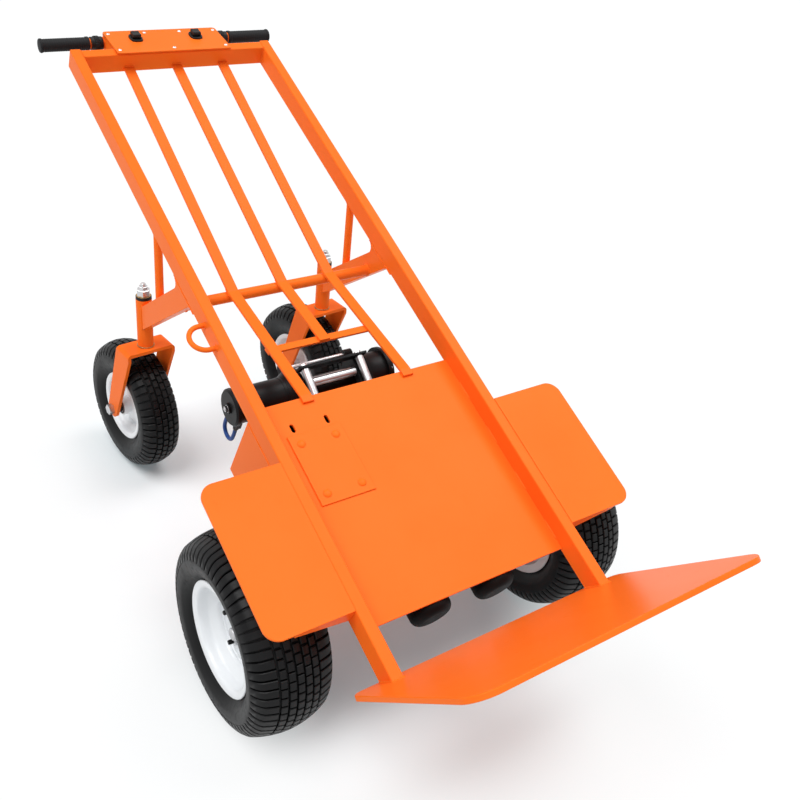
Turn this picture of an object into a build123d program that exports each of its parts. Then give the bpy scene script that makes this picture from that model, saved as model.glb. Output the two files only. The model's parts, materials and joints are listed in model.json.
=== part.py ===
from build123d import *
import os
from math import cos, radians, sin, tan

os.makedirs("parts", exist_ok=True)

SIDES = (("left", -1), ("right", 1))

# Every size is in millimetres and every angle in degrees.
# Three directions place the frame: x across, v up the rails from the toe plate,
# and w out of the rails' front faces.

# Stance
rail_lean = 65.5
axle_back = 298.0
kingpin_back = 1099.0

# Fits
shaft_clear = 0.05
run_gap = 0.3
seat_clear = 0.1

# Rails and crossbar
frame_width = 520.0
rail_face = 25.0
rail_depth = 50.0
rail_wall = 2.5
rail_corner = 3.0
rail_length = 1613.0
rail_stub = 3.0

# Toe plate
toe_width = 640.0
toe_depth = 408.0
toe_thick = 10.0
toe_angle = 110.0
toe_front_corner = 45.0
toe_back_corner = 25.0
toe_edge = 2.0

# Deck and its bolted cover plate
deck_low = 90.0
deck_top = 582.0
deck_set = 42.0
deck_thick = 5.0
plate_gap = 31.0
plate_v = 422.5
plate_width = 122.0
plate_height = 161.0
plate_thick = 3.0
bolt_pitch_x = 79.0
bolt_pitch_v = 117.0
bolt_dia = 8.0
bolt_head_dia = 18.0
bolt_head_height = 4.5
bolt_head_taper = 40.0
nut_across = 13.0
nut_height = 6.5
slot_rise = 97.5
slot_width = 9.0
slot_length = 20.0

# Fenders and their gussets
fender_width = 171.0
fender_low = 120.0
fender_top = 437.0
fender_thick = 5.0
fender_corner = 30.0
fender_gap = 15.7
gusset_depth = 45.0
gusset_reach = 120.0
gusset_tip = 8.0
gusset_thick = 6.0

# Slats and the tube that carries them
slat_width = 25.0
slat_thick = 6.0
slat_pitch = 123.5
kink_rise = 27.0
kink_set = 103.0
slat_lap = 15.0
slat_clear = 2.0
end_bar_v = 728.0
end_bar_width = 18.0
cross_tube_dia = 25.0
cross_tube_wall = 2.5

# Caster arms, braces and kingpin tubes
arm_v = 893.0
arm_angle = 60.0
arm_depth = 50.0
arm_fillet = 18.0
brace_back = 998.0
brace_dia = 19.0
brace_wall = 2.0
kingpin_tube_dia = 38.0
kingpin_tube_stand = 55.5
kingpin_dia = 19.0
bush_wall = 3.5
bush_sleeve = 22.0
thrust_flange = 3.5
bush_cap = 8.0
bush_flange_dia = 35.0

# Tie loop on the left rail
loop_v = 763.0
loop_rod = 11.0
loop_radius = 30.0
loop_leg = 14.0

# Driven wheels
tyre_radius = 203.0
tyre_width = 165.0
wheel_gap = 24.5
rim_flange_radius = 117.0
rim_bead_radius = 101.6
rim_drop_radius = 86.0
rim_width = 137.0
rim_drop_half = 28.0
rim_slope = 12.0
rim_disc_set = 50.0
rim_wall = 3.5
rim_lip = 4.0
tread_half = 68.0
tread_drop = 15.0
tyre_wall = 9.0
groove_width = 6.0
groove_depth = 5.0
groove_pitch = 30.0
axle_dia = 25.0
hub_flange_radius = 58.0
hub_flange_thick = 8.0
stud_circle = 90.0
stud_count = 4
stud_dia = 12.0
wheel_nut_across = 19.0
wheel_nut_height = 10.0
axle_end = 26.0

# Casters
caster_swivel = 5.5
caster_trail = 76.0
caster_radius = 168.0
caster_width = 100.0
caster_flange_radius = 89.0
caster_bead_radius = 76.0
caster_drop_radius = 66.0
caster_rim_width = 76.0
caster_rim_wall = 3.0
caster_tread_half = 40.0
caster_tread_drop = 11.0
caster_tyre_wall = 7.0
caster_groove_pitch = 19.0
caster_hub_radius = 24.0
caster_hub_half = 40.0
caster_axle_dia = 16.0
spacer_radius = 14.0
fork_side_gap = 4.0
fork_bar = 8.0
fork_depth = 60.0
fork_eye = 22.0
fork_bend = 10.0
crown_gap = 32.0
kingpin_head = 9.0
kingpin_head_across = 28.0
kingpin_nut_height = 16.0
kingpin_tip_dia = 12.0
kingpin_tip_height = 15.0
tip_nut_across = 19.0
tip_nut_height = 8.0
axle_head_across = 24.0
axle_head_height = 10.0

# Battery box and what it holds
box_low = 350.0
box_high = 564.0
box_depth = 182.0
panel_thick = 3.0
panel_bolt_dia = 6.0
panel_bolt_across = 10.0
panel_bolt_head = 5.0
panel_bolt_inset = 15.0
panel_bolt_low = 164.0
panel_bolt_top = 30.0
battery_length = 196.0
battery_width = 131.0
battery_height = 160.0
battery_gap = 8.0
post_dia = 12.0
post_height = 9.0
controller_length = 180.0
controller_width = 56.0
controller_height = 42.0
fin_count = 6
fin_thick = 3.0
fin_height = 10.0

# Drive motors, gear cases and axle hangers
motor_dia = 88.0
motor_x = 78.0
motor_front = 72.0
motor_edge = 18.0
gear_case_width = 70.0
hanger_thick = 8.0
hanger_half = 75.0
hanger_eye = 45.0
hanger_root = 12.0
bearing_dia = 52.0
bearing_width = 15.0

# Winch, whose own directions are a (along the fairlead's upright rollers) and n (out of its mouth)
winch_v = 662.0
winch_w = -152.0
winch_tilt = 15.0
drum_half = 72.0
drum_core = 22.0
drum_flange = 40.0
drum_flange_thick = 4.0
drum_stub = 10.0
drum_stub_length = 14.0
support_thick = 20.0
support_round = 50.0
foot_half = 44.0
winch_base = 58.0
winch_motor_radius = 38.0
winch_motor_length = 133.0
winch_cone_length = 20.0
winch_cap_radius = 41.0
winch_cap_thick = 12.0
winch_boss_radius = 12.0
winch_boss_height = 4.0
winch_nut_across = 13.0
winch_nut_height = 5.0
gearbox_radius = 44.0
gearbox_length = 46.0
gearbox_ring = 52.0
gearbox_ring_thick = 8.0
gearbox_cap = 40.0
gearbox_cap_thick = 12.0
knob_radius = 21.0
knob_height = 17.0
knob_bar = 9.0
knob_bar_length = 37.0
knob_stub = 6.0
knob_stub_length = 9.0
tie_rod_dia = 9.0
tie_rod_circle = 57.0
tie_rod_angles = (-9.0, -100.0)
tie_rod_eye = 11.0
mount_plate = 6.0
mount_half = 100.0
mount_front = 74.0
mount_back = 60.0
ear_x = 90.0
ear_thick = 6.0
ear_inset = 5.0
roller_dia = 18.0
roller_pin = 8.0
upright_roller_x = 68.0
upright_roller_n = 62.0
cross_roller_dia = 20.0
cross_roller_n = 43.5
cross_roller_half = 55.5
cross_roller_high = -1.0
cross_roller_low = -40.0
fairlead_top = 26.0
fairlead_plate = 5.0
fairlead_half = 84.0
fairlead_back = 46.0
cheek_back = 33.0
roller_nut_across = 13.0
roller_nut_height = 6.0

# Winch motor lead, a loop that hangs between two terminals behind the motor's cap
terminal_width = 12.0
terminal_up = 26.0
terminal_down = 31.0
terminal_root = 25.0
terminal_reach = 44.0
lead_dia = 9.0
lead_run = (
    (17.0, -54.0), (18.5, -76.0), (17.0, -100.1), (5.6, -111.5),
    (-10.6, -111.5), (-22.0, -100.1), (-23.5, -76.0), (-22.0, -54.0),
)

# Control box, handlebar and switches
control_x = -8.0
cover_reach = 30.0
cover_tilt = 13.0
cover_depth = 109.0
cover_thick = 3.0
cover_corner = 8.0
cover_lip = 1.5
control_half = 146.5
control_wall = 3.0
control_floor = 5.0
screw_dia = 5.0
screw_head_dia = 9.0
screw_head_height = 2.5
screw_inset = 14.5
screw_x = 138.0
screw_mid_x = 46.0
switch_x = 78.5
switch_back = 68.0
bezel_width = 31.0
bezel_length = 37.0
bezel_corner = 13.5
bezel_height = 4.0
bezel_body_width = 26.0
bezel_body_length = 32.0
bezel_body_depth = 12.0
rocker_width = 20.0
rocker_slot = 24.0
rocker_pivot = -3.0
rocker_pin = 4.0
rocker_pin_reach = 2.3
rocker_hub = 5.0
rocker_neck = 7.0
rocker_half = 11.0
rocker_low = 7.0
rocker_top = 15.0
rocker_edge = 2.5
bar_dia = 25.0
bar_wall = 2.5
bar_half = 300.0
bar_back = 102.6
bar_rise = 1.6
grip_start = 184.0
grip_end = 302.0
grip_radius = 16.5
grip_waist = 15.0
grip_bead = 7.0
ring_start = 150.5
ring_end = 180.0
ring_radius = 15.5
ring_ridge = 17.5
ring_ridge_width = 12.0

# Worked-out places
lean_sin = sin(radians(rail_lean))
lean_cos = cos(radians(rail_lean))
toe_cos = cos(radians(toe_angle))
toe_sin = sin(radians(toe_angle))
arm_cos = cos(radians(arm_angle))
arm_sin = sin(radians(arm_angle))
tilt_cos = cos(radians(winch_tilt))
tilt_sin = sin(radians(winch_tilt))
rise_cos = cos(radians(cover_tilt))
rise_sin = sin(radians(cover_tilt))
fender_rise = tyre_radius + fender_gap + fender_thick - axle_back * lean_cos
foot_height = tyre_radius + fender_rise / lean_sin


def behind(v, w):
    """Distance behind the foot line of a point given by v and w."""
    return v * lean_sin - w * lean_cos


def above(v, w):
    """Height over the ground of a point given by v and w."""
    return foot_height + v * lean_cos + w * lean_sin


rail_x = frame_width / 2 - rail_face / 2
inner_half = frame_width / 2 - rail_face
crossbar_top = rail_length - rail_stub
crossbar_low = crossbar_top - rail_face
wheel_x = frame_width / 2 + wheel_gap + tyre_width / 2
plate_x = plate_gap + plate_width / 2 - inner_half
kink_v = arm_v + kink_rise

cover_front = behind(crossbar_top, 0) - cover_reach * rise_cos - seat_clear * rise_sin
toe_tip = behind(
    toe_depth * toe_cos - toe_thick * toe_sin,
    toe_depth * toe_sin + toe_thick * toe_cos - rail_depth,
)
rear = cover_front + max(cover_depth * rise_cos, bar_back + grip_radius)
foot_y = -(toe_tip + rear) / 2

axle_y = foot_y + axle_back
kingpin_y = foot_y + kingpin_back
axle_v = axle_back * lean_sin + (tyre_radius - foot_height) * lean_cos
axle_w = (tyre_radius - foot_height) * lean_sin - axle_back * lean_cos

across = Vector(1, 0, 0)
up_rail = Vector(0, lean_sin, lean_cos)
off_rail = Vector(0, -lean_cos, lean_sin)
foot = Vector(0, foot_y, foot_height)
face_plane = Plane(origin=foot, x_dir=across, z_dir=off_rail)
toe_top = Plane(
    origin=foot - off_rail * rail_depth, x_dir=across, z_dir=up_rail * toe_sin - off_rail * toe_cos
)
rail_back = face_plane.offset(-rail_depth)
deck_face = face_plane.offset(-deck_set)
deck_back = face_plane.offset(-deck_set - deck_thick)


def side_plane(x):
    """Plane at x whose sketch directions are v and w."""
    return Plane(origin=foot + across * x, x_dir=up_rail, z_dir=across)


def section_plane(v):
    """Plane square to the rails at v, whose sketch directions are x and minus w."""
    return Plane(origin=foot + up_rail * v, x_dir=across, z_dir=up_rail)


def upright_plane(x):
    """Plane at x whose sketch directions are Y and Z."""
    return Plane(origin=(x, 0, 0), x_dir=(0, 1, 0), z_dir=(1, 0, 0))


def save(builder, name):
    """Label a finished piece and write it to its own file."""
    builder.part.label = name
    export_step(builder.part, f"parts/{name}.step")


# Rails: closed rectangular tubes cut to the slope of the toe plate
for side, sign in SIDES:
    with BuildPart() as rail:
        with BuildSketch(section_plane(-rail_depth)):
            with Locations((sign * rail_x, rail_depth / 2)):
                RectangleRounded(rail_face, rail_depth, rail_corner)
        extrude(amount=rail_length + rail_depth)
        with BuildSketch(section_plane(-rail_depth)):
            with Locations((sign * rail_x, rail_depth / 2)):
                Rectangle(rail_face - 2 * rail_wall, rail_depth - 2 * rail_wall)
        extrude(amount=rail_length + rail_depth - rail_wall, mode=Mode.SUBTRACT)
        split(bisect_by=toe_top, keep=Keep.TOP)
    save(rail, f"{side}_rail")

# Crossbar between the rails' top ends
with BuildPart() as top_crossbar:
    with BuildSketch(side_plane(0)):
        with Locations((crossbar_top - rail_face / 2, -rail_depth / 2)):
            RectangleRounded(rail_face, rail_depth, rail_corner)
            Rectangle(rail_face - 2 * rail_wall, rail_depth - 2 * rail_wall, mode=Mode.SUBTRACT)
    extrude(amount=inner_half, both=True)
save(top_crossbar, "top_crossbar")

# Toe plate, open to the rails by more than a right angle
with BuildPart() as toe_plate:
    with BuildSketch(toe_top) as toe_sketch:
        with Locations((0, -toe_depth / 2)):
            Rectangle(toe_width, toe_depth)
        fillet(toe_sketch.vertices().group_by(Axis.Y)[0], toe_front_corner)
        fillet(toe_sketch.vertices().group_by(Axis.Y)[-1], toe_back_corner)
    extrude(amount=-toe_thick)
    fillet(toe_plate.faces().sort_by(Axis(toe_top.origin, toe_top.z_dir))[-1].edges(), toe_edge)
save(toe_plate, "toe_plate")

# Deck plate with two slots and the holes for its cover plate
bolt_grid = [
    (plate_x + i * bolt_pitch_x / 2, plate_v + j * bolt_pitch_v / 2) for i in (-1, 1) for j in (-1, 1)
]
slot_spots = [(plate_x + i * bolt_pitch_x / 2, plate_v + slot_rise) for i in (-1, 1)]
with BuildPart() as deck_plate:
    with BuildSketch(deck_face):
        with Locations((0, (deck_low + deck_top) / 2)):
            Rectangle(2 * inner_half, deck_top - deck_low)
        with Locations(slot_spots):
            SlotOverall(slot_length, slot_width, rotation=90, mode=Mode.SUBTRACT)
        with Locations(bolt_grid):
            Circle(bolt_dia / 2 + seat_clear, mode=Mode.SUBTRACT)
    extrude(amount=-deck_thick)
save(deck_plate, "deck_plate")

with BuildPart() as deck_cover_plate:
    with BuildSketch(deck_face):
        with Locations((plate_x, plate_v)):
            Rectangle(plate_width, plate_height)
        with Locations(bolt_grid):
            Circle(bolt_dia / 2 + seat_clear, mode=Mode.SUBTRACT)
    extrude(amount=plate_thick)
save(deck_cover_plate, "deck_cover_plate")

# Fenders, flush with the rails' front faces, and the gussets under their lower edges
with BuildPart() as fenders:
    for side, sign in SIDES:
        with BuildSketch(face_plane) as fender_sketch:
            with Locations((sign * (frame_width + fender_width) / 2, (fender_low + fender_top) / 2)):
                Rectangle(fender_width, fender_top - fender_low)
            outer_corners = [corner for corner in fender_sketch.vertices() if abs(corner.X) > wheel_x]
            fillet(outer_corners, fender_corner)
        extrude(amount=-fender_thick)
save(fenders, "fenders")

with BuildPart() as fender_gussets:
    for side, sign in SIDES:
        with BuildSketch(section_plane(fender_low)):
            with BuildLine():
                Polyline(
                    (sign * frame_width / 2, fender_thick),
                    (sign * frame_width / 2, gusset_depth),
                    (sign * (frame_width / 2 + gusset_reach), fender_thick + gusset_tip),
                    (sign * (frame_width / 2 + gusset_reach), fender_thick),
                    close=True,
                )
            make_face()
        extrude(amount=gusset_thick)
save(fender_gussets, "fender_gussets")

# Slats: flat bars that dip to the cross tube, with a short bar across their lower run
slat_set = deck_set - slat_thick
slat_bend_v = deck_top + slat_clear
lower_fall = (kink_set - slat_set) / (kink_v - slat_bend_v)
end_bar_low = end_bar_v - end_bar_width / 2
end_bar_high = end_bar_v + end_bar_width / 2
end_bar_turn = slat_set + lower_fall * (end_bar_low - slat_bend_v)
end_bar_set = slat_set + lower_fall * (end_bar_high - slat_bend_v)
long_end = [(slat_bend_v, -slat_set), (deck_top - slat_lap, -slat_set)]
short_end = [(end_bar_low, -end_bar_turn)]
with BuildPart() as slats:
    for slat_x, low_end in ((-slat_pitch, long_end), (0, short_end), (slat_pitch, long_end)):
        front_run = [(crossbar_low, -slat_set), (kink_v, -kink_set)] + low_end
        back_run = [(v, w - slat_thick) for v, w in reversed(front_run)]
        with BuildSketch(side_plane(slat_x)):
            with BuildLine():
                Polyline(*front_run, *back_run, close=True)
            make_face()
        extrude(amount=slat_width / 2, both=True)
    with BuildSketch(side_plane(0)):
        with BuildLine():
            Polyline(
                (end_bar_low, -end_bar_turn - slat_thick),
                (end_bar_high, -end_bar_set - slat_thick),
                (end_bar_high, -end_bar_set - 2 * slat_thick),
                (end_bar_low, -end_bar_turn - 2 * slat_thick),
                close=True,
            )
        make_face()
    extrude(amount=slat_pitch + slat_width / 2, both=True)
save(slats, "slats")

# Round tube under the slats' bend, between the caster arms
cross_tube_w = -kink_set - slat_thick - cross_tube_dia / 2
with BuildPart() as cross_tube:
    with BuildSketch(side_plane(0)):
        with Locations((kink_v, cross_tube_w)):
            Circle(cross_tube_dia / 2)
            Circle(cross_tube_dia / 2 - cross_tube_wall, mode=Mode.SUBTRACT)
    extrude(amount=inner_half, both=True)
save(cross_tube, "cross_tube")

# Caster arms: flat bars that drop from the rails' backs to the kingpin tubes
arm_slope = arm_cos * lean_sin + arm_sin * lean_cos
arm_reach = (kingpin_back - behind(arm_v, -rail_depth)) / arm_slope
arm_root = arm_depth * arm_cos / arm_sin
arm_mid = (arm_reach - arm_root) / 2
tube_low = 2 * caster_radius + crown_gap + fork_bar + run_gap + thrust_flange
arm_end = above(arm_v + arm_reach * arm_cos, -rail_depth - arm_reach * arm_sin)
tube_high = arm_end + kingpin_tube_stand
with BuildPart() as caster_arms:
    for side, sign in SIDES:
        with BuildSketch(side_plane(sign * rail_x)) as arm_sketch:
            with Locations((arm_v, -rail_depth / 2)):
                Rectangle(8 * arm_depth, rail_depth)
            with Locations((arm_v + arm_mid * arm_cos, -rail_depth - arm_mid * arm_sin)):
                Rectangle(arm_reach + arm_root, arm_depth, rotation=-arm_angle)
            inner_turns = [
                corner for corner in arm_sketch.vertices()
                if abs(corner.Y + rail_depth) < 1 and abs(corner.X - arm_v) < 2 * arm_depth
            ]
            fillet(inner_turns, arm_fillet)
            with Locations((arm_v, 0)):
                Rectangle(10 * arm_depth, 2 * rail_depth, mode=Mode.SUBTRACT)
        extrude(amount=rail_face / 2, both=True)
        with BuildSketch(Plane.XY.offset(tube_low)):
            with Locations((sign * rail_x, kingpin_y)):
                Circle(kingpin_tube_dia / 2)
        extrude(amount=2 * tube_high, both=True, mode=Mode.SUBTRACT)
    split(bisect_by=Plane(origin=(0, kingpin_y, 0), z_dir=(0, -1, 0)), keep=Keep.TOP)
save(caster_arms, "caster_arms")

# Upright braces between the arms and the rails
arm_upper = Plane(
    origin=foot + up_rail * arm_v - off_rail * rail_depth,
    x_dir=across,
    z_dir=up_rail * arm_sin + off_rail * arm_cos,
).offset(arm_depth / 2)
with BuildPart() as caster_braces:
    for side, sign in SIDES:
        with BuildSketch(Plane.XY):
            with Locations((sign * rail_x, foot_y + brace_back)):
                Circle(brace_dia / 2)
                Circle(brace_dia / 2 - brace_wall, mode=Mode.SUBTRACT)
        extrude(amount=above(rail_length, 0))
    split(bisect_by=arm_upper, keep=Keep.TOP)
    split(bisect_by=rail_back, keep=Keep.BOTTOM)
save(caster_braces, "caster_braces")

# Kingpin tubes with a flanged bush at each end
bush_outer = kingpin_dia / 2 + shaft_clear + bush_wall
with BuildPart() as kingpin_tubes:
    with BuildSketch(Plane.XY.offset(tube_low)):
        with Locations((-rail_x, kingpin_y), (rail_x, kingpin_y)):
            Circle(kingpin_tube_dia / 2)
            Circle(bush_outer + shaft_clear, mode=Mode.SUBTRACT)
    extrude(amount=tube_high - tube_low)
save(kingpin_tubes, "kingpin_tubes")

bush_ends = ((tube_low, -thrust_flange, bush_sleeve), (tube_high, bush_cap, -bush_sleeve))
with BuildPart() as kingpin_bushes:
    for start, flange, sleeve in bush_ends:
        for length, radius in ((flange, bush_flange_dia / 2), (sleeve, bush_outer)):
            with BuildSketch(Plane.XY.offset(start)):
                with Locations((-rail_x, kingpin_y), (rail_x, kingpin_y)):
                    Circle(radius)
                    Circle(kingpin_dia / 2 + shaft_clear, mode=Mode.SUBTRACT)
            extrude(amount=length)
save(kingpin_bushes, "kingpin_bushes")

# Tie loop: a bent rod standing out of the left rail
loop_plane = Plane(
    origin=foot - across * (frame_width / 2) + up_rail * loop_v - off_rail * (rail_depth / 2),
    x_dir=up_rail,
    z_dir=off_rail,
)
with BuildPart() as tie_loop:
    with BuildLine(loop_plane) as loop_path:
        loop_start = Line((-loop_radius, 0), (-loop_radius, loop_leg))
        loop_round = TangentArc(loop_start @ 1, (loop_radius, loop_leg), tangent=loop_start % 1)
        Line(loop_round @ 1, (loop_radius, 0))
    with BuildSketch(Plane(origin=loop_path.line @ 0, z_dir=loop_path.line % 0)):
        Circle(loop_rod / 2)
    sweep()
save(tie_loop, "tie_loop")

# Battery box: two side panels under the rails and a folded tray between them
with BuildPart() as box_side_panels:
    for side, sign in SIDES:
        with BuildSketch(side_plane(sign * (frame_width / 2 - panel_thick / 2))):
            with Locations(((box_low + box_high) / 2, -rail_depth - box_depth / 2)):
                Rectangle(box_high - box_low, box_depth)
        extrude(amount=panel_thick / 2, both=True)
save(box_side_panels, "box_side_panels")

tray_floor = -rail_depth - box_depth + panel_thick
with BuildPart() as box_tray:
    with BuildSketch(side_plane(0)):
        with Locations(((box_low + box_high) / 2, -rail_depth - box_depth / 2)):
            Rectangle(box_high - box_low, box_depth)
        with Locations(((box_low + box_high) / 2, -rail_depth - box_depth / 2 + panel_thick)):
            Rectangle(box_high - box_low - 2 * panel_thick, box_depth, mode=Mode.SUBTRACT)
    extrude(amount=frame_width / 2 - panel_thick, both=True)
save(box_tray, "box_tray")

# Two batteries and the motor controller stand on the tray's floor
battery_x = (battery_length + battery_gap) / 2
battery_v = box_high - panel_thick - battery_gap - battery_width / 2
with BuildPart() as batteries:
    with BuildSketch(face_plane.offset(tray_floor)):
        with Locations((-battery_x, battery_v), (battery_x, battery_v)):
            Rectangle(battery_length, battery_width)
    extrude(amount=battery_height)
    with BuildSketch(face_plane.offset(tray_floor + battery_height)):
        with Locations((-battery_x, battery_v), (battery_x, battery_v)):
            with GridLocations(battery_length * 0.8, battery_width * 0.8, 2, 1):
                Circle(post_dia / 2)
    extrude(amount=post_height)
save(batteries, "batteries")

with BuildPart() as motor_controller:
    with BuildSketch(face_plane.offset(tray_floor)):
        with Locations((0, box_low + panel_thick + battery_gap + controller_width / 2)):
            Rectangle(controller_length, controller_width)
    extrude(amount=controller_height - fin_height)
    with BuildSketch(face_plane.offset(tray_floor + controller_height - fin_height)):
        with Locations((0, box_low + panel_thick + battery_gap + controller_width / 2)):
            with GridLocations(1, (controller_width - fin_thick) / (fin_count - 1), 1, fin_count):
                Rectangle(controller_length, fin_thick)
    extrude(amount=fin_height)
save(motor_controller, "motor_controller")

# Drive motors lie against the deck's back and run into the gear cases
motor_w = -deck_set - deck_thick - motor_dia / 2
case_front = axle_v - motor_dia / 2
with BuildPart() as drive_motors:
    with BuildSketch(section_plane(motor_front)):
        with Locations((-motor_x, -motor_w), (motor_x, -motor_w)):
            Circle(motor_dia / 2)
    extrude(amount=case_front - motor_front)
    fillet(drive_motors.edges().group_by(Axis(foot, up_rail))[0], motor_edge)
save(drive_motors, "drive_motors")

with BuildPart() as gear_cases:
    for side, sign in SIDES:
        with BuildSketch(side_plane(sign * motor_x)):
            with Locations((axle_v, axle_w)):
                Circle(motor_dia / 2)
            with Locations((axle_v, motor_w)):
                Circle(motor_dia / 2)
            make_hull()
            with Locations((axle_v, motor_w)):
                Rectangle(motor_dia, motor_dia)
            with Locations((axle_v, axle_w)):
                Circle(axle_dia / 2 + shaft_clear, mode=Mode.SUBTRACT)
        extrude(amount=gear_case_width / 2, both=True)
save(gear_cases, "gear_cases")

# Axle hangers under the rails, each with a bearing ring
with BuildPart() as axle_hangers:
    for side, sign in SIDES:
        with BuildSketch(side_plane(sign * rail_x)):
            with Locations((axle_v, axle_w)):
                Circle(hanger_eye)
            with Locations((axle_v, -rail_depth - hanger_root / 2)):
                Rectangle(2 * hanger_half, hanger_root)
            make_hull()
            with Locations((axle_v, axle_w)):
                Circle(bearing_dia / 2 + shaft_clear, mode=Mode.SUBTRACT)
        extrude(amount=hanger_thick / 2, both=True)
save(axle_hangers, "axle_hangers")

with BuildPart() as axle_bearings:
    for side, sign in SIDES:
        with BuildSketch(side_plane(sign * rail_x)):
            with Locations((axle_v, axle_w)):
                Circle(bearing_dia / 2)
                Circle(axle_dia / 2 + shaft_clear, mode=Mode.SUBTRACT)
        extrude(amount=bearing_width / 2, both=True)
save(axle_bearings, "axle_bearings")


def tyre_half(radius, width, flange, bead, bead_half, tread, drop, wall):
    """Half of a tyre's section, drawn in the open builder: x from the tyre's middle, y from its axle."""
    shoulder = radius - drop
    belly = (flange + shoulder) / 2
    Polyline((bead_half - wall, flange), (bead_half - wall, bead), (bead_half, bead), (bead_half, flange))
    ThreePointArc((bead_half, flange), (width / 2, belly), (tread, shoulder))
    ThreePointArc((tread, shoulder), (tread / 2, radius - drop / 4), (0, radius))
    ThreePointArc((bead_half - wall, flange), (width / 2 - wall, belly), (tread - wall, shoulder - wall))
    ThreePointArc(
        (tread - wall, shoulder - wall), (tread / 2 - wall / 2, radius - drop / 4 - wall), (0, radius - wall)
    )
    mirror(about=Plane.YZ)


# Driven wheels: grooved tyre, deep-dished rim and an axle with its hub flange and wheel nuts
rim_half = rim_width / 2
disc_out = rim_half - rim_disc_set
disc_in = disc_out - rim_wall
bead_out = rim_half - rim_lip
bead_in = rim_drop_half + rim_slope
drop_inside = rim_drop_half + rim_wall / 2
bead_inside = bead_in + rim_wall / 2
for side, sign in SIDES:
    wheel_plane = Plane(origin=(sign * wheel_x, axle_y, tyre_radius), x_dir=(sign, 0, 0), z_dir=(0, -sign, 0))
    spin_axis = Axis((0, axle_y, tyre_radius), (1, 0, 0))
    with BuildPart() as tyre:
        with BuildSketch(wheel_plane):
            with BuildLine():
                tyre_half(
                    tyre_radius, tyre_width, rim_flange_radius + rim_lip / 2, rim_bead_radius + seat_clear,
                    bead_out - seat_clear, tread_half, tread_drop, tyre_wall,
                )
            make_face()
            with Locations([(i * groove_pitch, tyre_radius) for i in (-1, 0, 1)]):
                Rectangle(groove_width, 2 * groove_depth + tread_drop / 4, mode=Mode.SUBTRACT)
        revolve(axis=spin_axis)
    save(tyre, f"{side}_tyre")

    with BuildPart() as rim:
        with BuildSketch(wheel_plane):
            with BuildLine():
                Polyline(
                    (-rim_half, rim_flange_radius),
                    (-bead_out, rim_flange_radius),
                    (-bead_out, rim_bead_radius),
                    (-bead_in, rim_bead_radius),
                    (-rim_drop_half, rim_drop_radius),
                    (rim_drop_half, rim_drop_radius),
                    (bead_in, rim_bead_radius),
                    (bead_out, rim_bead_radius),
                    (bead_out, rim_flange_radius),
                    (rim_half, rim_flange_radius),
                    (rim_half, rim_bead_radius - rim_wall),
                    (bead_inside, rim_bead_radius - rim_wall),
                    (drop_inside, rim_drop_radius - rim_wall),
                    (disc_out, rim_drop_radius - rim_wall),
                    (disc_out, axle_dia / 2 + seat_clear),
                    (disc_in, axle_dia / 2 + seat_clear),
                    (disc_in, rim_drop_radius - rim_wall),
                    (-drop_inside, rim_drop_radius - rim_wall),
                    (-bead_inside, rim_bead_radius - rim_wall),
                    (-rim_half, rim_bead_radius - rim_wall),
                    close=True,
                )
            make_face()
        revolve(axis=spin_axis)
        with BuildSketch(side_plane(sign * (wheel_x + disc_in))):
            with Locations((axle_v, axle_w)):
                with PolarLocations(stud_circle / 2, stud_count):
                    Circle(stud_dia / 2 + seat_clear)
        extrude(amount=2 * rim_wall, both=True, mode=Mode.SUBTRACT)
    save(rim, f"{side}_rim")

    with BuildPart() as axle:
        shaft_in = motor_x - gear_case_width / 2 + run_gap
        hub_face = wheel_x + disc_in
        with BuildSketch(side_plane(sign * shaft_in)):
            with Locations((axle_v, axle_w)):
                Circle(axle_dia / 2)
        extrude(amount=sign * (hub_face + axle_end - shaft_in))
        with BuildSketch(side_plane(sign * hub_face)):
            with Locations((axle_v, axle_w)):
                Circle(hub_flange_radius)
        extrude(amount=-sign * hub_flange_thick)
        with BuildSketch(side_plane(sign * hub_face)):
            with Locations((axle_v, axle_w)):
                with PolarLocations(stud_circle / 2, stud_count):
                    Circle(stud_dia / 2)
        extrude(amount=sign * (rim_wall + wheel_nut_height))
        with BuildSketch(side_plane(sign * (hub_face + rim_wall))):
            with Locations((axle_v, axle_w)):
                with PolarLocations(stud_circle / 2, stud_count):
                    RegularPolygon(wheel_nut_across / 2, 6, major_radius=False)
        extrude(amount=sign * wheel_nut_height)
    save(axle, f"{side}_axle")

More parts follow.
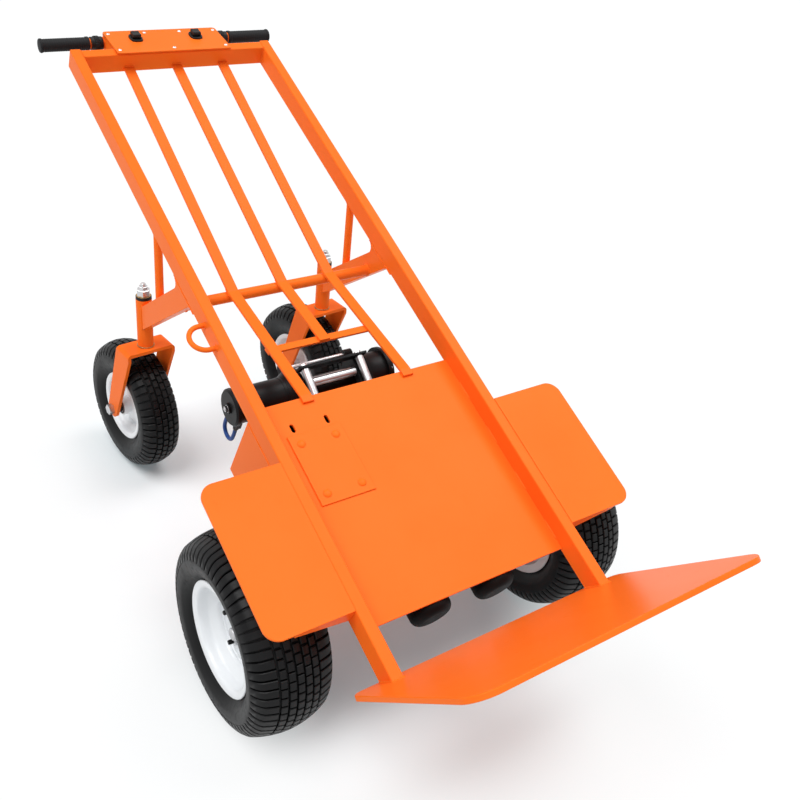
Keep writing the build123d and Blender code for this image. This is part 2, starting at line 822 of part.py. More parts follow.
# Casters, each drawn about its own kingpin and turned a little to one side
swivel_x = Vector(cos(radians(caster_swivel)), sin(radians(caster_swivel)), 0)
swivel_y = Vector(-sin(radians(caster_swivel)), cos(radians(caster_swivel)), 0)
fork_inner = caster_width / 2 + fork_side_gap
fork_outer = fork_inner + fork_bar
fork_top = 2 * caster_radius + crown_gap + fork_bar
caster_half = caster_rim_width / 2
caster_bead_half = caster_half - rim_lip
for side, sign in SIDES:
    kingpin = Vector(sign * rail_x, kingpin_y, 0)
    hub = kingpin + swivel_y * caster_trail + Vector(0, 0, caster_radius)
    caster_plane = Plane(origin=hub, x_dir=swivel_x, z_dir=swivel_y * -1)
    roll_axis = Axis(hub, swivel_x)
    fork_middle = Plane(origin=kingpin, x_dir=swivel_y, z_dir=swivel_x)
    with BuildPart() as fork:
        with BuildSketch(fork_middle):
            with Locations((0, fork_top - fork_bend)):
                Rectangle(fork_depth, 2 * fork_bend)
            with Locations((caster_trail, caster_radius)):
                Circle(fork_eye)
            make_hull()
        extrude(amount=fork_outer, both=True)
        crown_edges = fork.edges().filter_by(Axis(hub, swivel_y)).group_by(Axis.Z)[-1]
        fillet(crown_edges, fork_bend)
        with BuildSketch(fork_middle):
            with Locations((0, (fork_top - fork_bar) / 2)):
                Rectangle(4 * caster_radius, fork_top - fork_bar)
        extrude(amount=fork_inner, both=True, mode=Mode.SUBTRACT)
        with BuildSketch(fork_middle):
            with Locations((caster_trail, caster_radius)):
                Circle(caster_axle_dia / 2 + seat_clear)
        extrude(amount=2 * fork_outer, both=True, mode=Mode.SUBTRACT)
        with BuildSketch(Plane.XY.offset(fork_top)):
            with Locations((kingpin.X, kingpin.Y)):
                Circle(kingpin_dia / 2 + seat_clear)
        extrude(amount=-2 * fork_bar, mode=Mode.SUBTRACT)
    save(fork, f"{side}_fork")

    with BuildPart() as caster_bolts:
        crown_low = fork_top - fork_bar
        nut_seat = tube_high + bush_cap + run_gap
        nut_top = nut_seat + kingpin_nut_height
        for start, stop, across_flats, radius in (
            (crown_low - kingpin_head, crown_low, kingpin_head_across, 0),
            (crown_low - kingpin_head / 2, nut_top, 0, kingpin_dia / 2),
            (nut_seat, nut_top, kingpin_head_across, 0),
            (nut_seat, nut_top + kingpin_tip_height, 0, kingpin_tip_dia / 2),
            (nut_top, nut_top + tip_nut_height, tip_nut_across, 0),
        ):
            with BuildSketch(Plane.XY.offset(start)):
                with Locations((kingpin.X, kingpin.Y)):
                    if across_flats:
                        RegularPolygon(across_flats / 2, 6, major_radius=False)
                    else:
                        Circle(radius)
            extrude(amount=stop - start)
        bolt_tip = fork_outer + axle_head_height + rim_lip
        for start, stop, across_flats, radius in (
            (-fork_outer - axle_head_height, -fork_outer, axle_head_across, 0),
            (-fork_outer - axle_head_height / 2, bolt_tip, 0, caster_axle_dia / 2),
            (fork_outer, fork_outer + axle_head_height, axle_head_across, 0),
            (-fork_inner, -caster_hub_half - run_gap, 0, spacer_radius),
            (caster_hub_half + run_gap, fork_inner, 0, spacer_radius),
        ):
            with BuildSketch(fork_middle.offset(start)):
                with Locations((caster_trail, caster_radius)):
                    if across_flats:
                        RegularPolygon(across_flats / 2, 6, major_radius=False)
                    else:
                        Circle(radius)
            extrude(amount=stop - start)
    save(caster_bolts, f"{side}_caster_bolts")

    with BuildPart() as caster_tyre:
        with BuildSketch(caster_plane):
            with BuildLine():
                tyre_half(
                    caster_radius, caster_width, caster_flange_radius + rim_lip / 2,
                    caster_bead_radius + seat_clear, caster_bead_half - seat_clear,
                    caster_tread_half, caster_tread_drop, caster_tyre_wall,
                )
            make_face()
            with Locations([(i * caster_groove_pitch, caster_radius) for i in (-1, 0, 1)]):
                Rectangle(groove_width, 2 * groove_depth + caster_tread_drop / 4, mode=Mode.SUBTRACT)
        revolve(axis=roll_axis)
    save(caster_tyre, f"{side}_caster_tyre")

    with BuildPart() as caster_rim:
        with BuildSketch(caster_plane):
            with BuildLine():
                Polyline(
                    (0, caster_drop_radius),
                    (caster_half / 3, caster_drop_radius),
                    (caster_half / 2, caster_bead_radius),
                    (caster_bead_half, caster_bead_radius),
                    (caster_bead_half, caster_flange_radius),
                    (caster_half, caster_flange_radius),
                    (caster_half, caster_bead_radius - caster_rim_wall),
                    (caster_half / 2 + caster_rim_wall / 2, caster_bead_radius - caster_rim_wall),
                    (caster_half / 3, caster_drop_radius - caster_rim_wall),
                    (caster_rim_wall, caster_drop_radius - caster_rim_wall),
                    (caster_half / 2, caster_hub_radius + caster_rim_wall),
                    (caster_half / 2, caster_hub_radius),
                    (caster_hub_half, caster_hub_radius),
                    (caster_hub_half, caster_axle_dia / 2 + shaft_clear),
                    (0, caster_axle_dia / 2 + shaft_clear),
                )
                mirror(about=Plane.YZ)
            make_face()
        revolve(axis=roll_axis)
    save(caster_rim, f"{side}_caster_rim")

# Winch: its planes first, then the two end castings with the motor and the gearbox
along = up_rail * tilt_cos + off_rail * tilt_sin
outward = off_rail * tilt_cos - up_rail * tilt_sin
winch_centre = foot + up_rail * winch_v + off_rail * winch_w
winch_axis = Axis(winch_centre, across)
winch_profile = Plane(origin=winch_centre, x_dir=across, z_dir=outward)
winch_end = drum_half + support_thick


def winch_side(x):
    """Plane at x whose sketch directions are a and n."""
    return Plane(origin=winch_centre + across * x, x_dir=along, z_dir=across)


def winch_level(a):
    """Plane square to the upright rollers at a, whose sketch directions are x and minus n."""
    return Plane(origin=winch_centre + along * a, x_dir=across, z_dir=along)


def winch_point(a, n):
    """The v and w of a point given by the winch's own directions."""
    return (winch_v + a * tilt_cos - n * tilt_sin, winch_w + a * tilt_sin + n * tilt_cos)


def support_outline():
    """Outline of an end casting, drawn in the open sketch: a round with a foot and two eyes."""
    Circle(support_round)
    with Locations((-winch_base + support_thick / 4, 0)):
        Rectangle(support_thick / 2, 2 * foot_half)
    make_hull()
    for angle in tie_rod_angles:
        with Locations((tie_rod_circle * cos(radians(angle)), tie_rod_circle * sin(radians(angle)))):
            Circle(tie_rod_eye)


with BuildPart() as winch_motor:
    with BuildSketch(winch_side(-drum_half)):
        support_outline()
    extrude(amount=-support_thick)
    motor_end = winch_end + winch_motor_length
    cap_end = motor_end + winch_cap_thick
    with BuildSketch(winch_profile):
        with BuildLine():
            Polyline(
                (-winch_end, 0),
                (-winch_end, support_round),
                (-winch_end - winch_cone_length, winch_motor_radius),
                (-motor_end, winch_motor_radius),
                (-motor_end, winch_cap_radius),
                (-cap_end + winch_boss_height, winch_cap_radius),
                (-cap_end, winch_cap_radius - winch_boss_height),
                (-cap_end, winch_boss_radius),
                (-cap_end - winch_boss_height, winch_boss_radius),
                (-cap_end - winch_boss_height, 0),
                close=True,
            )
        make_face()
    revolve(axis=winch_axis)
    with BuildSketch(winch_side(-cap_end - winch_boss_height)):
        RegularPolygon(winch_nut_across / 2, 6, major_radius=False)
    extrude(amount=-winch_nut_height)
    lead_x = terminal_width / 2 - motor_end
    terminal_v = winch_v + (terminal_up - terminal_down) / 2
    terminal_w = winch_w - (terminal_root + terminal_reach) / 2
    with BuildSketch(side_plane(lead_x)):
        with Locations((terminal_v, terminal_w)):
            Rectangle(terminal_up + terminal_down, terminal_reach - terminal_root)
    extrude(amount=terminal_width / 2, both=True)
    with BuildSketch(winch_side(-drum_half)):
        Circle(drum_stub + shaft_clear)
    extrude(amount=-drum_stub_length - run_gap, mode=Mode.SUBTRACT)
save(winch_motor, "winch_motor")

with BuildPart() as winch_gearbox:
    with BuildSketch(winch_side(drum_half)):
        support_outline()
    extrude(amount=support_thick)
    ring_low = winch_end + gearbox_length
    ring_high = ring_low + gearbox_ring_thick
    gearbox_end = ring_high + gearbox_cap_thick
    with BuildSketch(winch_profile):
        with BuildLine():
            Polyline(
                (winch_end, 0),
                (winch_end, gearbox_radius),
                (ring_low, gearbox_radius),
                (ring_low, gearbox_ring),
                (ring_high, gearbox_ring),
                (ring_high, gearbox_cap),
                (gearbox_end, gearbox_cap),
                (gearbox_end, 0),
                close=True,
            )
        make_face()
    revolve(axis=winch_axis)
    with BuildSketch(winch_side(drum_half)):
        Circle(drum_stub + shaft_clear)
    extrude(amount=drum_stub_length + run_gap, mode=Mode.SUBTRACT)
    with BuildSketch(winch_side(gearbox_end)):
        Circle(knob_stub + shaft_clear)
    extrude(amount=-knob_stub_length - run_gap, mode=Mode.SUBTRACT)
save(winch_gearbox, "winch_gearbox")

with BuildPart() as winch_drum:
    drum_end = drum_half - run_gap
    with BuildSketch(winch_profile):
        with BuildLine():
            Polyline(
                (0, 0),
                (drum_end + drum_stub_length, 0),
                (drum_end + drum_stub_length, drum_stub),
                (drum_end, drum_stub),
                (drum_end, drum_flange),
                (drum_end - drum_flange_thick, drum_flange),
                (drum_end - drum_flange_thick, drum_core),
                (0, drum_core),
            )
            mirror(about=Plane.YZ)
        make_face()
    revolve(axis=winch_axis)
save(winch_drum, "winch_drum")

with BuildPart() as winch_tie_rods:
    for angle in tie_rod_angles:
        with BuildSketch(winch_side(0)):
            with Locations((tie_rod_circle * cos(radians(angle)), tie_rod_circle * sin(radians(angle)))):
                Circle(tie_rod_dia / 2)
        extrude(amount=drum_half, both=True)
save(winch_tie_rods, "winch_tie_rods")

with BuildPart() as clutch_knob:
    with BuildSketch(winch_side(gearbox_end + run_gap)):
        Circle(knob_radius)
    extrude(amount=knob_height / 2)
    with BuildSketch(winch_side(gearbox_end + run_gap + knob_height / 2)):
        SlotOverall(knob_bar_length, knob_bar)
    extrude(amount=knob_height / 2)
    with BuildSketch(winch_side(gearbox_end + run_gap)):
        Circle(knob_stub)
    extrude(amount=-knob_stub_length)
save(clutch_knob, "clutch_knob")

# Winch mount: a plate under the feet, carried on two ears from the battery box
with BuildPart() as winch_mount:
    with BuildSketch(winch_level(-winch_base)):
        with Locations((0, (mount_back - mount_front) / 2)):
            Rectangle(2 * mount_half, mount_front + mount_back)
    extrude(amount=-mount_plate)
    ear_back = winch_point(-winch_base - mount_plate, ear_inset - mount_back)
    ear_front = winch_point(-winch_base - mount_plate, mount_front - ear_inset)
    for side, sign in SIDES:
        with BuildSketch(side_plane(sign * ear_x)):
            with BuildLine():
                Polyline((box_high, ear_back[1]), ear_back, ear_front, (box_high, ear_front[1]), close=True)
            make_face()
        extrude(amount=ear_thick / 2, both=True)
save(winch_mount, "winch_mount")

# Fairlead: a frame with two upright rollers and two cross rollers round its mouth
cheek_x = cross_roller_half + run_gap + fairlead_plate / 2
cheek_low = fairlead_plate - winch_base
cheek_front = upright_roller_n - roller_dia / 2 - run_gap
flange_n = (fairlead_back + mount_front) / 2
with BuildPart() as fairlead_frame:
    for level in (-winch_base, fairlead_top):
        with BuildSketch(winch_level(level)):
            with Locations((0, -flange_n)):
                Rectangle(2 * fairlead_half, mount_front - fairlead_back)
            with Locations((-upright_roller_x, -upright_roller_n), (upright_roller_x, -upright_roller_n)):
                Circle(roller_pin / 2 + shaft_clear, mode=Mode.SUBTRACT)
        extrude(amount=fairlead_plate)
    for side, sign in SIDES:
        with BuildSketch(winch_side(sign * cheek_x)):
            with Locations(((cheek_low + fairlead_top) / 2, (cheek_back + cheek_front) / 2)):
                Rectangle(fairlead_top - cheek_low, cheek_front - cheek_back)
            with Locations((cross_roller_high, cross_roller_n), (cross_roller_low, cross_roller_n)):
                Circle(roller_pin / 2 + shaft_clear, mode=Mode.SUBTRACT)
        extrude(amount=fairlead_plate / 2, both=True)
save(fairlead_frame, "fairlead_frame")

for side, sign in SIDES:
    with BuildPart() as upright_roller:
        nut_low = fairlead_top + fairlead_plate + run_gap
        for start, stop, radius in (
            (cheek_low + run_gap, fairlead_top - run_gap, roller_dia / 2),
            (run_gap - winch_base, nut_low + roller_nut_height, roller_pin / 2),
        ):
            with BuildSketch(winch_level(start)):
                with Locations((sign * upright_roller_x, -upright_roller_n)):
                    Circle(radius)
            extrude(amount=stop - start)
        with BuildSketch(winch_level(nut_low)):
            with Locations((sign * upright_roller_x, -upright_roller_n)):
                RegularPolygon(roller_nut_across / 2, 6, major_radius=False)
        extrude(amount=roller_nut_height)
    save(upright_roller, f"fairlead_roller_{side}")

pin_half = cheek_x + fairlead_plate / 2
for place, roller_a in (("upper", cross_roller_high), ("lower", cross_roller_low)):
    with BuildPart() as cross_roller:
        for half, radius in ((cross_roller_half, cross_roller_dia / 2), (pin_half, roller_pin / 2)):
            with BuildSketch(winch_side(0)):
                with Locations((roller_a, cross_roller_n)):
                    Circle(radius)
            extrude(amount=half, both=True)
    save(cross_roller, f"fairlead_roller_{place}")

# Winch motor lead: a limp cable whose bends are as round as its runs allow
lead_start = (winch_v + lead_run[0][0], winch_w - terminal_reach)
lead_stop = (winch_v + lead_run[-1][0], winch_w - terminal_reach)
lead_hang = [(winch_v + v, winch_w + w) for v, w in lead_run]
lead_route = [lead_start, *lead_hang, lead_stop]
lead_bends = []
for before, here, after in zip(lead_route, lead_route[1:], lead_route[2:]):
    run_in = Vector(here[0] - before[0], here[1] - before[1])
    run_out = Vector(after[0] - here[0], after[1] - here[1])
    half_turn = radians(run_in.get_angle(run_out)) / 2
    lead_bends.append(0.48 * min(run_in.length, run_out.length) / tan(half_turn))
with BuildPart() as winch_lead:
    with BuildLine(side_plane(lead_x)) as lead_path:
        FilletPolyline(*lead_route, radius=lead_bends)
    with BuildSketch(Plane(origin=lead_path.line @ 0, z_dir=lead_path.line % 0)):
        Circle(lead_dia / 2)
    sweep()
save(winch_lead, "winch_lead")

# Control box: an open tray that laps over the crossbar, closed by a sloping cover
cover_y = foot_y + cover_front
cover_z = above(crossbar_top, 0) - cover_reach * rise_sin + seat_clear * rise_cos
cover_up = Vector(0, -rise_sin, rise_cos)
cover_run = Vector(0, rise_cos, rise_sin)
cover_plane = Plane(origin=(control_x, cover_y, cover_z), x_dir=across, z_dir=cover_up)
cover_top = cover_plane.offset(cover_thick)
bar_y = cover_y + bar_back
bar_z = cover_z + bar_rise
cover_back_y = cover_y + cover_depth * rise_cos
cover_back_z = cover_z + cover_depth * rise_sin
box_lip_y = foot_y + behind(crossbar_top, -rail_depth)
box_floor_z = above(crossbar_top, -rail_depth) - control_floor
with BuildPart() as control_box:
    with BuildSketch(upright_plane(control_x)):
        with BuildLine():
            Polyline(
                (foot_y + behind(crossbar_top, 0), above(crossbar_top, 0) + seat_clear),
                (box_lip_y, box_floor_z + control_floor),
                (box_lip_y, box_floor_z),
                (cover_back_y, box_floor_z),
                (cover_back_y, cover_back_z),
                close=True,
            )
        make_face()
    extrude(amount=control_half, both=True)
    offset(amount=-control_wall, openings=control_box.faces().sort_by(Axis.Z)[-1])
    with BuildSketch(upright_plane(control_x)):
        with Locations((bar_y, bar_z)):
            Circle(bar_dia / 2 + seat_clear)
    extrude(amount=2 * control_half, both=True, mode=Mode.SUBTRACT)
save(control_box, "control_box")

switch_spots = [(-switch_x, switch_back), (switch_x, switch_back)]
cutout_width = bezel_body_width + 2 * seat_clear
cutout_length = bezel_body_length + 2 * seat_clear
with BuildPart() as control_cover:
    with BuildSketch(cover_plane):
        with Locations((0, cover_depth / 2)):
            RectangleRounded(2 * (control_half + cover_lip), cover_depth, cover_corner)
        with Locations(switch_spots):
            Rectangle(cutout_width, cutout_length, mode=Mode.SUBTRACT)
    extrude(amount=cover_thick)
save(control_cover, "control_cover")


def switch_side(x):
    """Plane at x through the switches, whose sketch directions run back and up from the cover."""
    origin = cover_top.origin + cover_run * switch_back + across * x
    return Plane(origin=origin, x_dir=cover_run, z_dir=across)


# Rocker switches: a bezel through the cover, and a rocker that tips on its pin
with BuildPart() as switch_bezels:
    with BuildSketch(cover_top):
        with Locations(switch_spots):
            RectangleRounded(bezel_width, bezel_length, bezel_corner)
    extrude(amount=bezel_height)
    with BuildSketch(cover_top):
        with Locations(switch_spots):
            Rectangle(bezel_body_width, bezel_body_length)
    extrude(amount=-bezel_body_depth)
    with BuildSketch(cover_top):
        with Locations(switch_spots):
            Rectangle(rocker_width + 2 * run_gap, rocker_slot)
    extrude(amount=2 * bezel_body_depth, both=True, mode=Mode.SUBTRACT)
    for side, sign in SIDES:
        with BuildSketch(switch_side(sign * switch_x)):
            with Locations((0, rocker_pivot)):
                Circle(rocker_pin / 2 + shaft_clear)
        extrude(amount=bezel_width, both=True, mode=Mode.SUBTRACT)
save(switch_bezels, "switch_bezels")

for side, sign in SIDES:
    with BuildPart() as rocker:
        with BuildSketch(switch_side(sign * switch_x)):
            with Locations((0, (rocker_low + rocker_top) / 2)):
                RectangleRounded(2 * rocker_half, rocker_top - rocker_low, rocker_edge)
            with Locations((0, (rocker_pivot + rocker_top) / 2)):
                Rectangle(2 * rocker_neck, rocker_top - rocker_pivot - 2 * rocker_edge)
            with Locations((0, rocker_pivot)):
                Circle(rocker_hub)
        extrude(amount=rocker_width / 2, both=True)
        with BuildSketch(switch_side(sign * switch_x)):
            with Locations((0, rocker_pivot)):
                Circle(rocker_pin / 2)
        extrude(amount=rocker_width / 2 + rocker_pin_reach, both=True)
    save(rocker, f"{side}_rocker")

# Handlebar through the control box, with a grip and a sprung twist ring at each end
bar_profile = Plane(origin=(control_x, bar_y, bar_z), x_dir=across, z_dir=(0, -1, 0))
bar_axis = Axis((0, bar_y, bar_z), (1, 0, 0))
bar_bore = bar_dia / 2 + shaft_clear
with BuildPart() as handlebar:
    with BuildSketch(upright_plane(control_x)):
        with Locations((bar_y, bar_z)):
            Circle(bar_dia / 2)
            Circle(bar_dia / 2 - bar_wall, mode=Mode.SUBTRACT)
    extrude(amount=bar_half, both=True)
save(handlebar, "handlebar")

with BuildPart() as grips:
    for side, sign in SIDES:
        bead_slope = grip_radius - grip_waist
        with BuildSketch(bar_profile):
            with BuildLine():
                Polyline(
                    (sign * grip_start, bar_bore),
                    (sign * grip_start, grip_radius),
                    (sign * (grip_start + grip_bead), grip_radius),
                    (sign * (grip_start + grip_bead + bead_slope), grip_waist),
                    (sign * (grip_end - grip_bead - bead_slope), grip_waist),
                    (sign * (grip_end - grip_bead), grip_radius),
                    (sign * grip_end, grip_radius),
                    (sign * grip_end, 0),
                    (sign * bar_half, 0),
                    (sign * bar_half, bar_bore),
                    close=True,
                )
            make_face()
        revolve(axis=bar_axis)
save(grips, "grips")

ring_middle = (ring_start + ring_end) / 2
for side, sign in SIDES:
    with BuildPart() as twist_ring:
        with BuildSketch(bar_profile):
            with BuildLine():
                Polyline(
                    (sign * ring_start, bar_bore),
                    (sign * ring_start, ring_radius),
                    (sign * (ring_middle - ring_ridge_width / 2), ring_radius),
                    (sign * (ring_middle - ring_ridge_width / 2), ring_ridge),
                    (sign * (ring_middle + ring_ridge_width / 2), ring_ridge),
                    (sign * (ring_middle + ring_ridge_width / 2), ring_radius),
                    (sign * ring_end, ring_radius),
                    (sign * ring_end, bar_bore),
                    close=True,
                )
            make_face()
        revolve(axis=bar_axis)
    save(twist_ring, f"{side}_twist_ring")

# Fasteners: carriage bolts in the deck, hex heads on the battery box and screws round the cover
screw_spots = [(x, screw_inset) for x in (-screw_x, 0, screw_x)]
screw_spots += [(x, cover_depth - screw_inset) for x in (-screw_x, -screw_mid_x, screw_mid_x, screw_x)]
panel_x = frame_width / 2 - panel_bolt_inset
panel_spots = [
    (x, rail_depth + drop) for x in (-panel_x, panel_x) for drop in (panel_bolt_top, panel_bolt_low)
]
with BuildPart() as fasteners:
    with BuildSketch(deck_face.offset(plate_thick)):
        with Locations(bolt_grid):
            Circle(bolt_head_dia / 2)
    extrude(amount=bolt_head_height, taper=bolt_head_taper)
    with BuildSketch(deck_face.offset(plate_thick)):
        with Locations(bolt_grid):
            Circle(bolt_dia / 2)
    extrude(amount=-plate_thick - deck_thick - nut_height)
    with BuildSketch(deck_back):
        with Locations(bolt_grid):
            RegularPolygon(nut_across / 2, 6, major_radius=False)
    extrude(amount=-nut_height)
    with BuildSketch(section_plane(box_high)):
        with Locations(panel_spots):
            RegularPolygon(panel_bolt_across / 2, 6, major_radius=False)
    extrude(amount=panel_bolt_head)
    with BuildSketch(cover_top):
        with Locations(screw_spots):
            Circle(screw_head_dia / 2)
    extrude(amount=screw_head_height)
save(fasteners, "fasteners")
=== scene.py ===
import json
import math
import random

import bmesh
import bpy
from bpy.props import FloatProperty, FloatVectorProperty, IntProperty, PointerProperty
from mathutils import Matrix, Vector


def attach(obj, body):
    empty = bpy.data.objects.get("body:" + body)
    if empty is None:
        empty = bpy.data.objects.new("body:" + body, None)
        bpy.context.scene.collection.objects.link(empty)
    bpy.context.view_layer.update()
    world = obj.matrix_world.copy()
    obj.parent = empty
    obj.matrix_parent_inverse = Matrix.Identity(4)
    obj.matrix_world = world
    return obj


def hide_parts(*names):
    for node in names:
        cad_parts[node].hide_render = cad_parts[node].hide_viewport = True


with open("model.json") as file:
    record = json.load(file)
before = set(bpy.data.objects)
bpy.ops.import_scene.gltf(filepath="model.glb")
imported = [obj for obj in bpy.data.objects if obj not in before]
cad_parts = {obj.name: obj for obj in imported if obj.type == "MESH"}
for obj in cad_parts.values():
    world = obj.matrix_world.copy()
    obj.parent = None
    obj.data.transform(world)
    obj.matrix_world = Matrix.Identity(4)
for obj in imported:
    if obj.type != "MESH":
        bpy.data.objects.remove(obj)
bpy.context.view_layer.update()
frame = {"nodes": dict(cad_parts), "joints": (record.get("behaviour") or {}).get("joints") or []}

bl_info = {
    "name": "Transport Cart",
    "version": (1, 0, 0),
    "blender": (4, 5, 0),
    "location": "View3D > Sidebar > Cart",
    "description": "Paint, tyres, welds, winch fittings and controls for a leaning transport cart",
    "category": "Object",
}

# Directions and points of the leaning cart, in metres and for the most part from its joints
MM = 0.001
ACROSS = Vector((1, 0, 0))
UPWARD = Vector((0, 0, 1))
LEAN = math.radians(65.5)
UP_RAIL = Vector((0, math.sin(LEAN), math.cos(LEAN)))
OFF_RAIL = Vector((0, -math.cos(LEAN), math.sin(LEAN)))
TOE = math.radians(110)
JOINTS = {joint["name"]: joint for joint in frame["joints"]}
AXLE_BACK = 0.298
FOOT_RISE = 0.31303
FOOT = Vector((0, JOINTS["left_wheel_spin"]["pos_m"][1] - AXLE_BACK, FOOT_RISE))
WINCH = Vector(JOINTS["drum_spin"]["pos_m"])
ALONG = Vector(JOINTS["roller_left_spin"]["axis"])
OUTWARD = ACROSS.cross(ALONG)
BAR = Vector(JOINTS["left_ring_twist"]["pos_m"]) * Vector((0, 1, 1))
COVER_TILT = math.radians(13)
COVER_RUN = Vector((0, math.cos(COVER_TILT), math.sin(COVER_TILT)))
COVER_UP = Vector((0, -math.sin(COVER_TILT), math.cos(COVER_TILT)))
ROCKERS = [Vector(JOINTS[f"{side}_rocker_tip"]["pos_m"]) for side in ("left", "right")]
# Millimetres, as on_cover and on_rail take them
ROCKER_BACK = 68
LEAD_X, LEAD_V, LEAD_W = -219, 662, -152

COVER_FRONT = (ROCKERS[0] + ROCKERS[1]) / 2 - COVER_RUN * (ROCKER_BACK * MM)
CONTROL_X = COVER_FRONT.x
SIDES = (("left", -1), ("right", 1))
SEED = 9209
COLOUR = {"subtype": "COLOR", "size": 3, "min": 0, "max": 1}


def on_rail(x, v, w):
    """A point given in millimetres across the cart, up its rails and out of their front faces."""
    return FOOT + ACROSS * (x * MM) + UP_RAIL * (v * MM) + OFF_RAIL * (w * MM)


def on_winch(x, a, n):
    """A point given in millimetres in the winch's own directions."""
    return WINCH + ACROSS * (x * MM) + ALONG * (a * MM) + OUTWARD * (n * MM)


def on_cover(x, back, up):
    """A point given in millimetres across, back along and up from the control cover's underside."""
    return COVER_FRONT + ACROSS * (x * MM) + COVER_RUN * (back * MM) + COVER_UP * (up * MM)


def stand(origin, first, second):
    """A placing matrix at a point, with its first two axes given."""
    axes = Matrix((first, second, first.cross(second))).transposed()
    return Matrix.Translation(origin) @ axes.to_4x4()


def caster_axle(side):
    """The frame at a caster wheel's hub, with its first axis along the axle."""
    roll = JOINTS[f"{side}_caster_roll"]
    first = Vector(roll["axis"]).normalized()
    return stand(Vector(roll["pos_m"]), first, UPWARD.cross(first))


def mm(points, sign=1):
    """Pairs of millimetres as metres, with the first of each turned over where the sign says so."""
    return [(sign * x * MM, y * MM) for x, y in points]


def around(count):
    """Evenly spread angles of one full turn."""
    return [2 * math.pi * i / count for i in range(count)]


def spun(x, radius, turn):
    """A point at a radius, turned about the first axis."""
    return Vector((x, radius * math.cos(turn), radius * math.sin(turn)))


def added(name, data):
    """A new object in the scene."""
    made = bpy.data.objects.new(name, data)
    bpy.context.scene.collection.objects.link(made)
    return made


class CartPaint(bpy.types.PropertyGroup):
    """Colours of the cart's finishes."""

    orange: FloatVectorProperty(
        name="Frame orange", description="Powder coat of the frame", default=(0.98, 0.178, 0.018), **COLOUR,
    )
    orange_deep: FloatVectorProperty(
        name="Deep orange", description="Thicker or shaded powder coat", default=(0.95, 0.152, 0.011), **COLOUR,
    )
    rim_white: FloatVectorProperty(
        name="Rim white", description="Gloss paint of the rims", default=(0.84, 0.86, 0.88), **COLOUR,
    )
    rubber: FloatVectorProperty(
        name="Tyre rubber", description="Rubber of the tyres", default=(0.0035, 0.0035, 0.004), **COLOUR,
    )
    satin_black: FloatVectorProperty(
        name="Satin black", description="Paint of the winch", default=(0.004, 0.004, 0.0045), **COLOUR,
    )
    lead_blue: FloatVectorProperty(
        name="Lead blue", description="Jacket of the winch motor's lead", default=(0.004, 0.042, 0.21), **COLOUR,
    )


class CartTread(bpy.types.PropertyGroup):
    """Sizes of the tyre tread."""

    depth: FloatProperty(
        name="Tread depth", description="Height of the tread blocks", default=0.006,
        min=0.002, max=0.012, subtype="DISTANCE", unit="LENGTH",
    )
    gap: FloatProperty(
        name="Tread gap", description="Width of the channels between blocks", default=0.0034,
        min=0.001, max=0.006, subtype="DISTANCE", unit="LENGTH",
    )
    rows: IntProperty(
        name="Rows", description="Rows of blocks round a driven tyre", default=62, min=24, max=120,
    )
    caster_rows: IntProperty(
        name="Caster rows", description="Rows of blocks round a caster tyre", default=52, min=24, max=120,
    )


class CartWelds(bpy.types.PropertyGroup):
    """Sizes of the weld beads."""

    bead: FloatProperty(
        name="Bead", description="Radius of a weld bead", default=0.0026,
        min=0.001, max=0.006, subtype="DISTANCE", unit="LENGTH",
    )
    ripple: FloatProperty(
        name="Ripple", description="Spacing of the ripples along a bead", default=0.0035,
        min=0.001, max=0.01, subtype="DISTANCE", unit="LENGTH",
    )


class CartStage(bpy.types.PropertyGroup):
    """Studio round the cart."""

    floor: FloatVectorProperty(
        name="Floor", description="Colour of the floor", default=(0.79, 0.812, 0.822), **COLOUR,
    )
    glow: FloatProperty(
        name="Floor white", description="How far the floor is lifted to white where it is seen", default=0.13,
        min=0, max=1, subtype="FACTOR",
    )
    # Painted light: share of white painted over the floor away from the cart, which covers the cart's own cast shadow
    # there
    fade: FloatProperty(
        name="Floor fade", description="How far the shadow fades to white away from the cart", default=0.8,
        min=0, max=1, subtype="FACTOR",
    )
    key: FloatProperty(
        name="Key light", description="Strength of the light from the upper left", default=1.95, min=0, max=10,
    )
    fill: FloatProperty(
        name="Sheen light", description="Strength of the light from the upper right", default=1.2, min=0, max=10,
    )
    sky: FloatProperty(
        name="Surround", description="Strength of the even light from all round", default=0.40, min=0, max=3,
    )


class Wire:
    """One shader socket, so that sums on it read as plain maths."""

    def __init__(self, finish, socket):
        self.finish = finish
        self.socket = socket

    def math(self, operation, first, second=None):
        values = {0: first} if second is None else {0: first, 1: second}
        return self.finish.node("ShaderNodeMath", {"operation": operation}, values)

    def __add__(self, other):
        return self.math("ADD", self, other)

    def __radd__(self, other):
        return self.math("ADD", other, self)

    def __sub__(self, other):
        return self.math("SUBTRACT", self, other)

    def __rsub__(self, other):
        return self.math("SUBTRACT", other, self)

    def __mul__(self, other):
        return self.math("MULTIPLY", self, other)

    def __rmul__(self, other):
        return self.math("MULTIPLY", other, self)

    def __truediv__(self, other):
        return self.math("DIVIDE", self, other)

    def __rtruediv__(self, other):
        return self.math("DIVIDE", other, self)

    def __pow__(self, other):
        return self.math("POWER", self, other)

    def __rpow__(self, other):
        return self.math("POWER", other, self)

    def sine(self):
        return self.math("SINE", self)

    def step(self, low, high):
        return self.finish.node(
            "ShaderNodeMapRange", {"interpolation_type": "SMOOTHSTEP"},
            {"Value": self, "From Min": low, "From Max": high},
        )


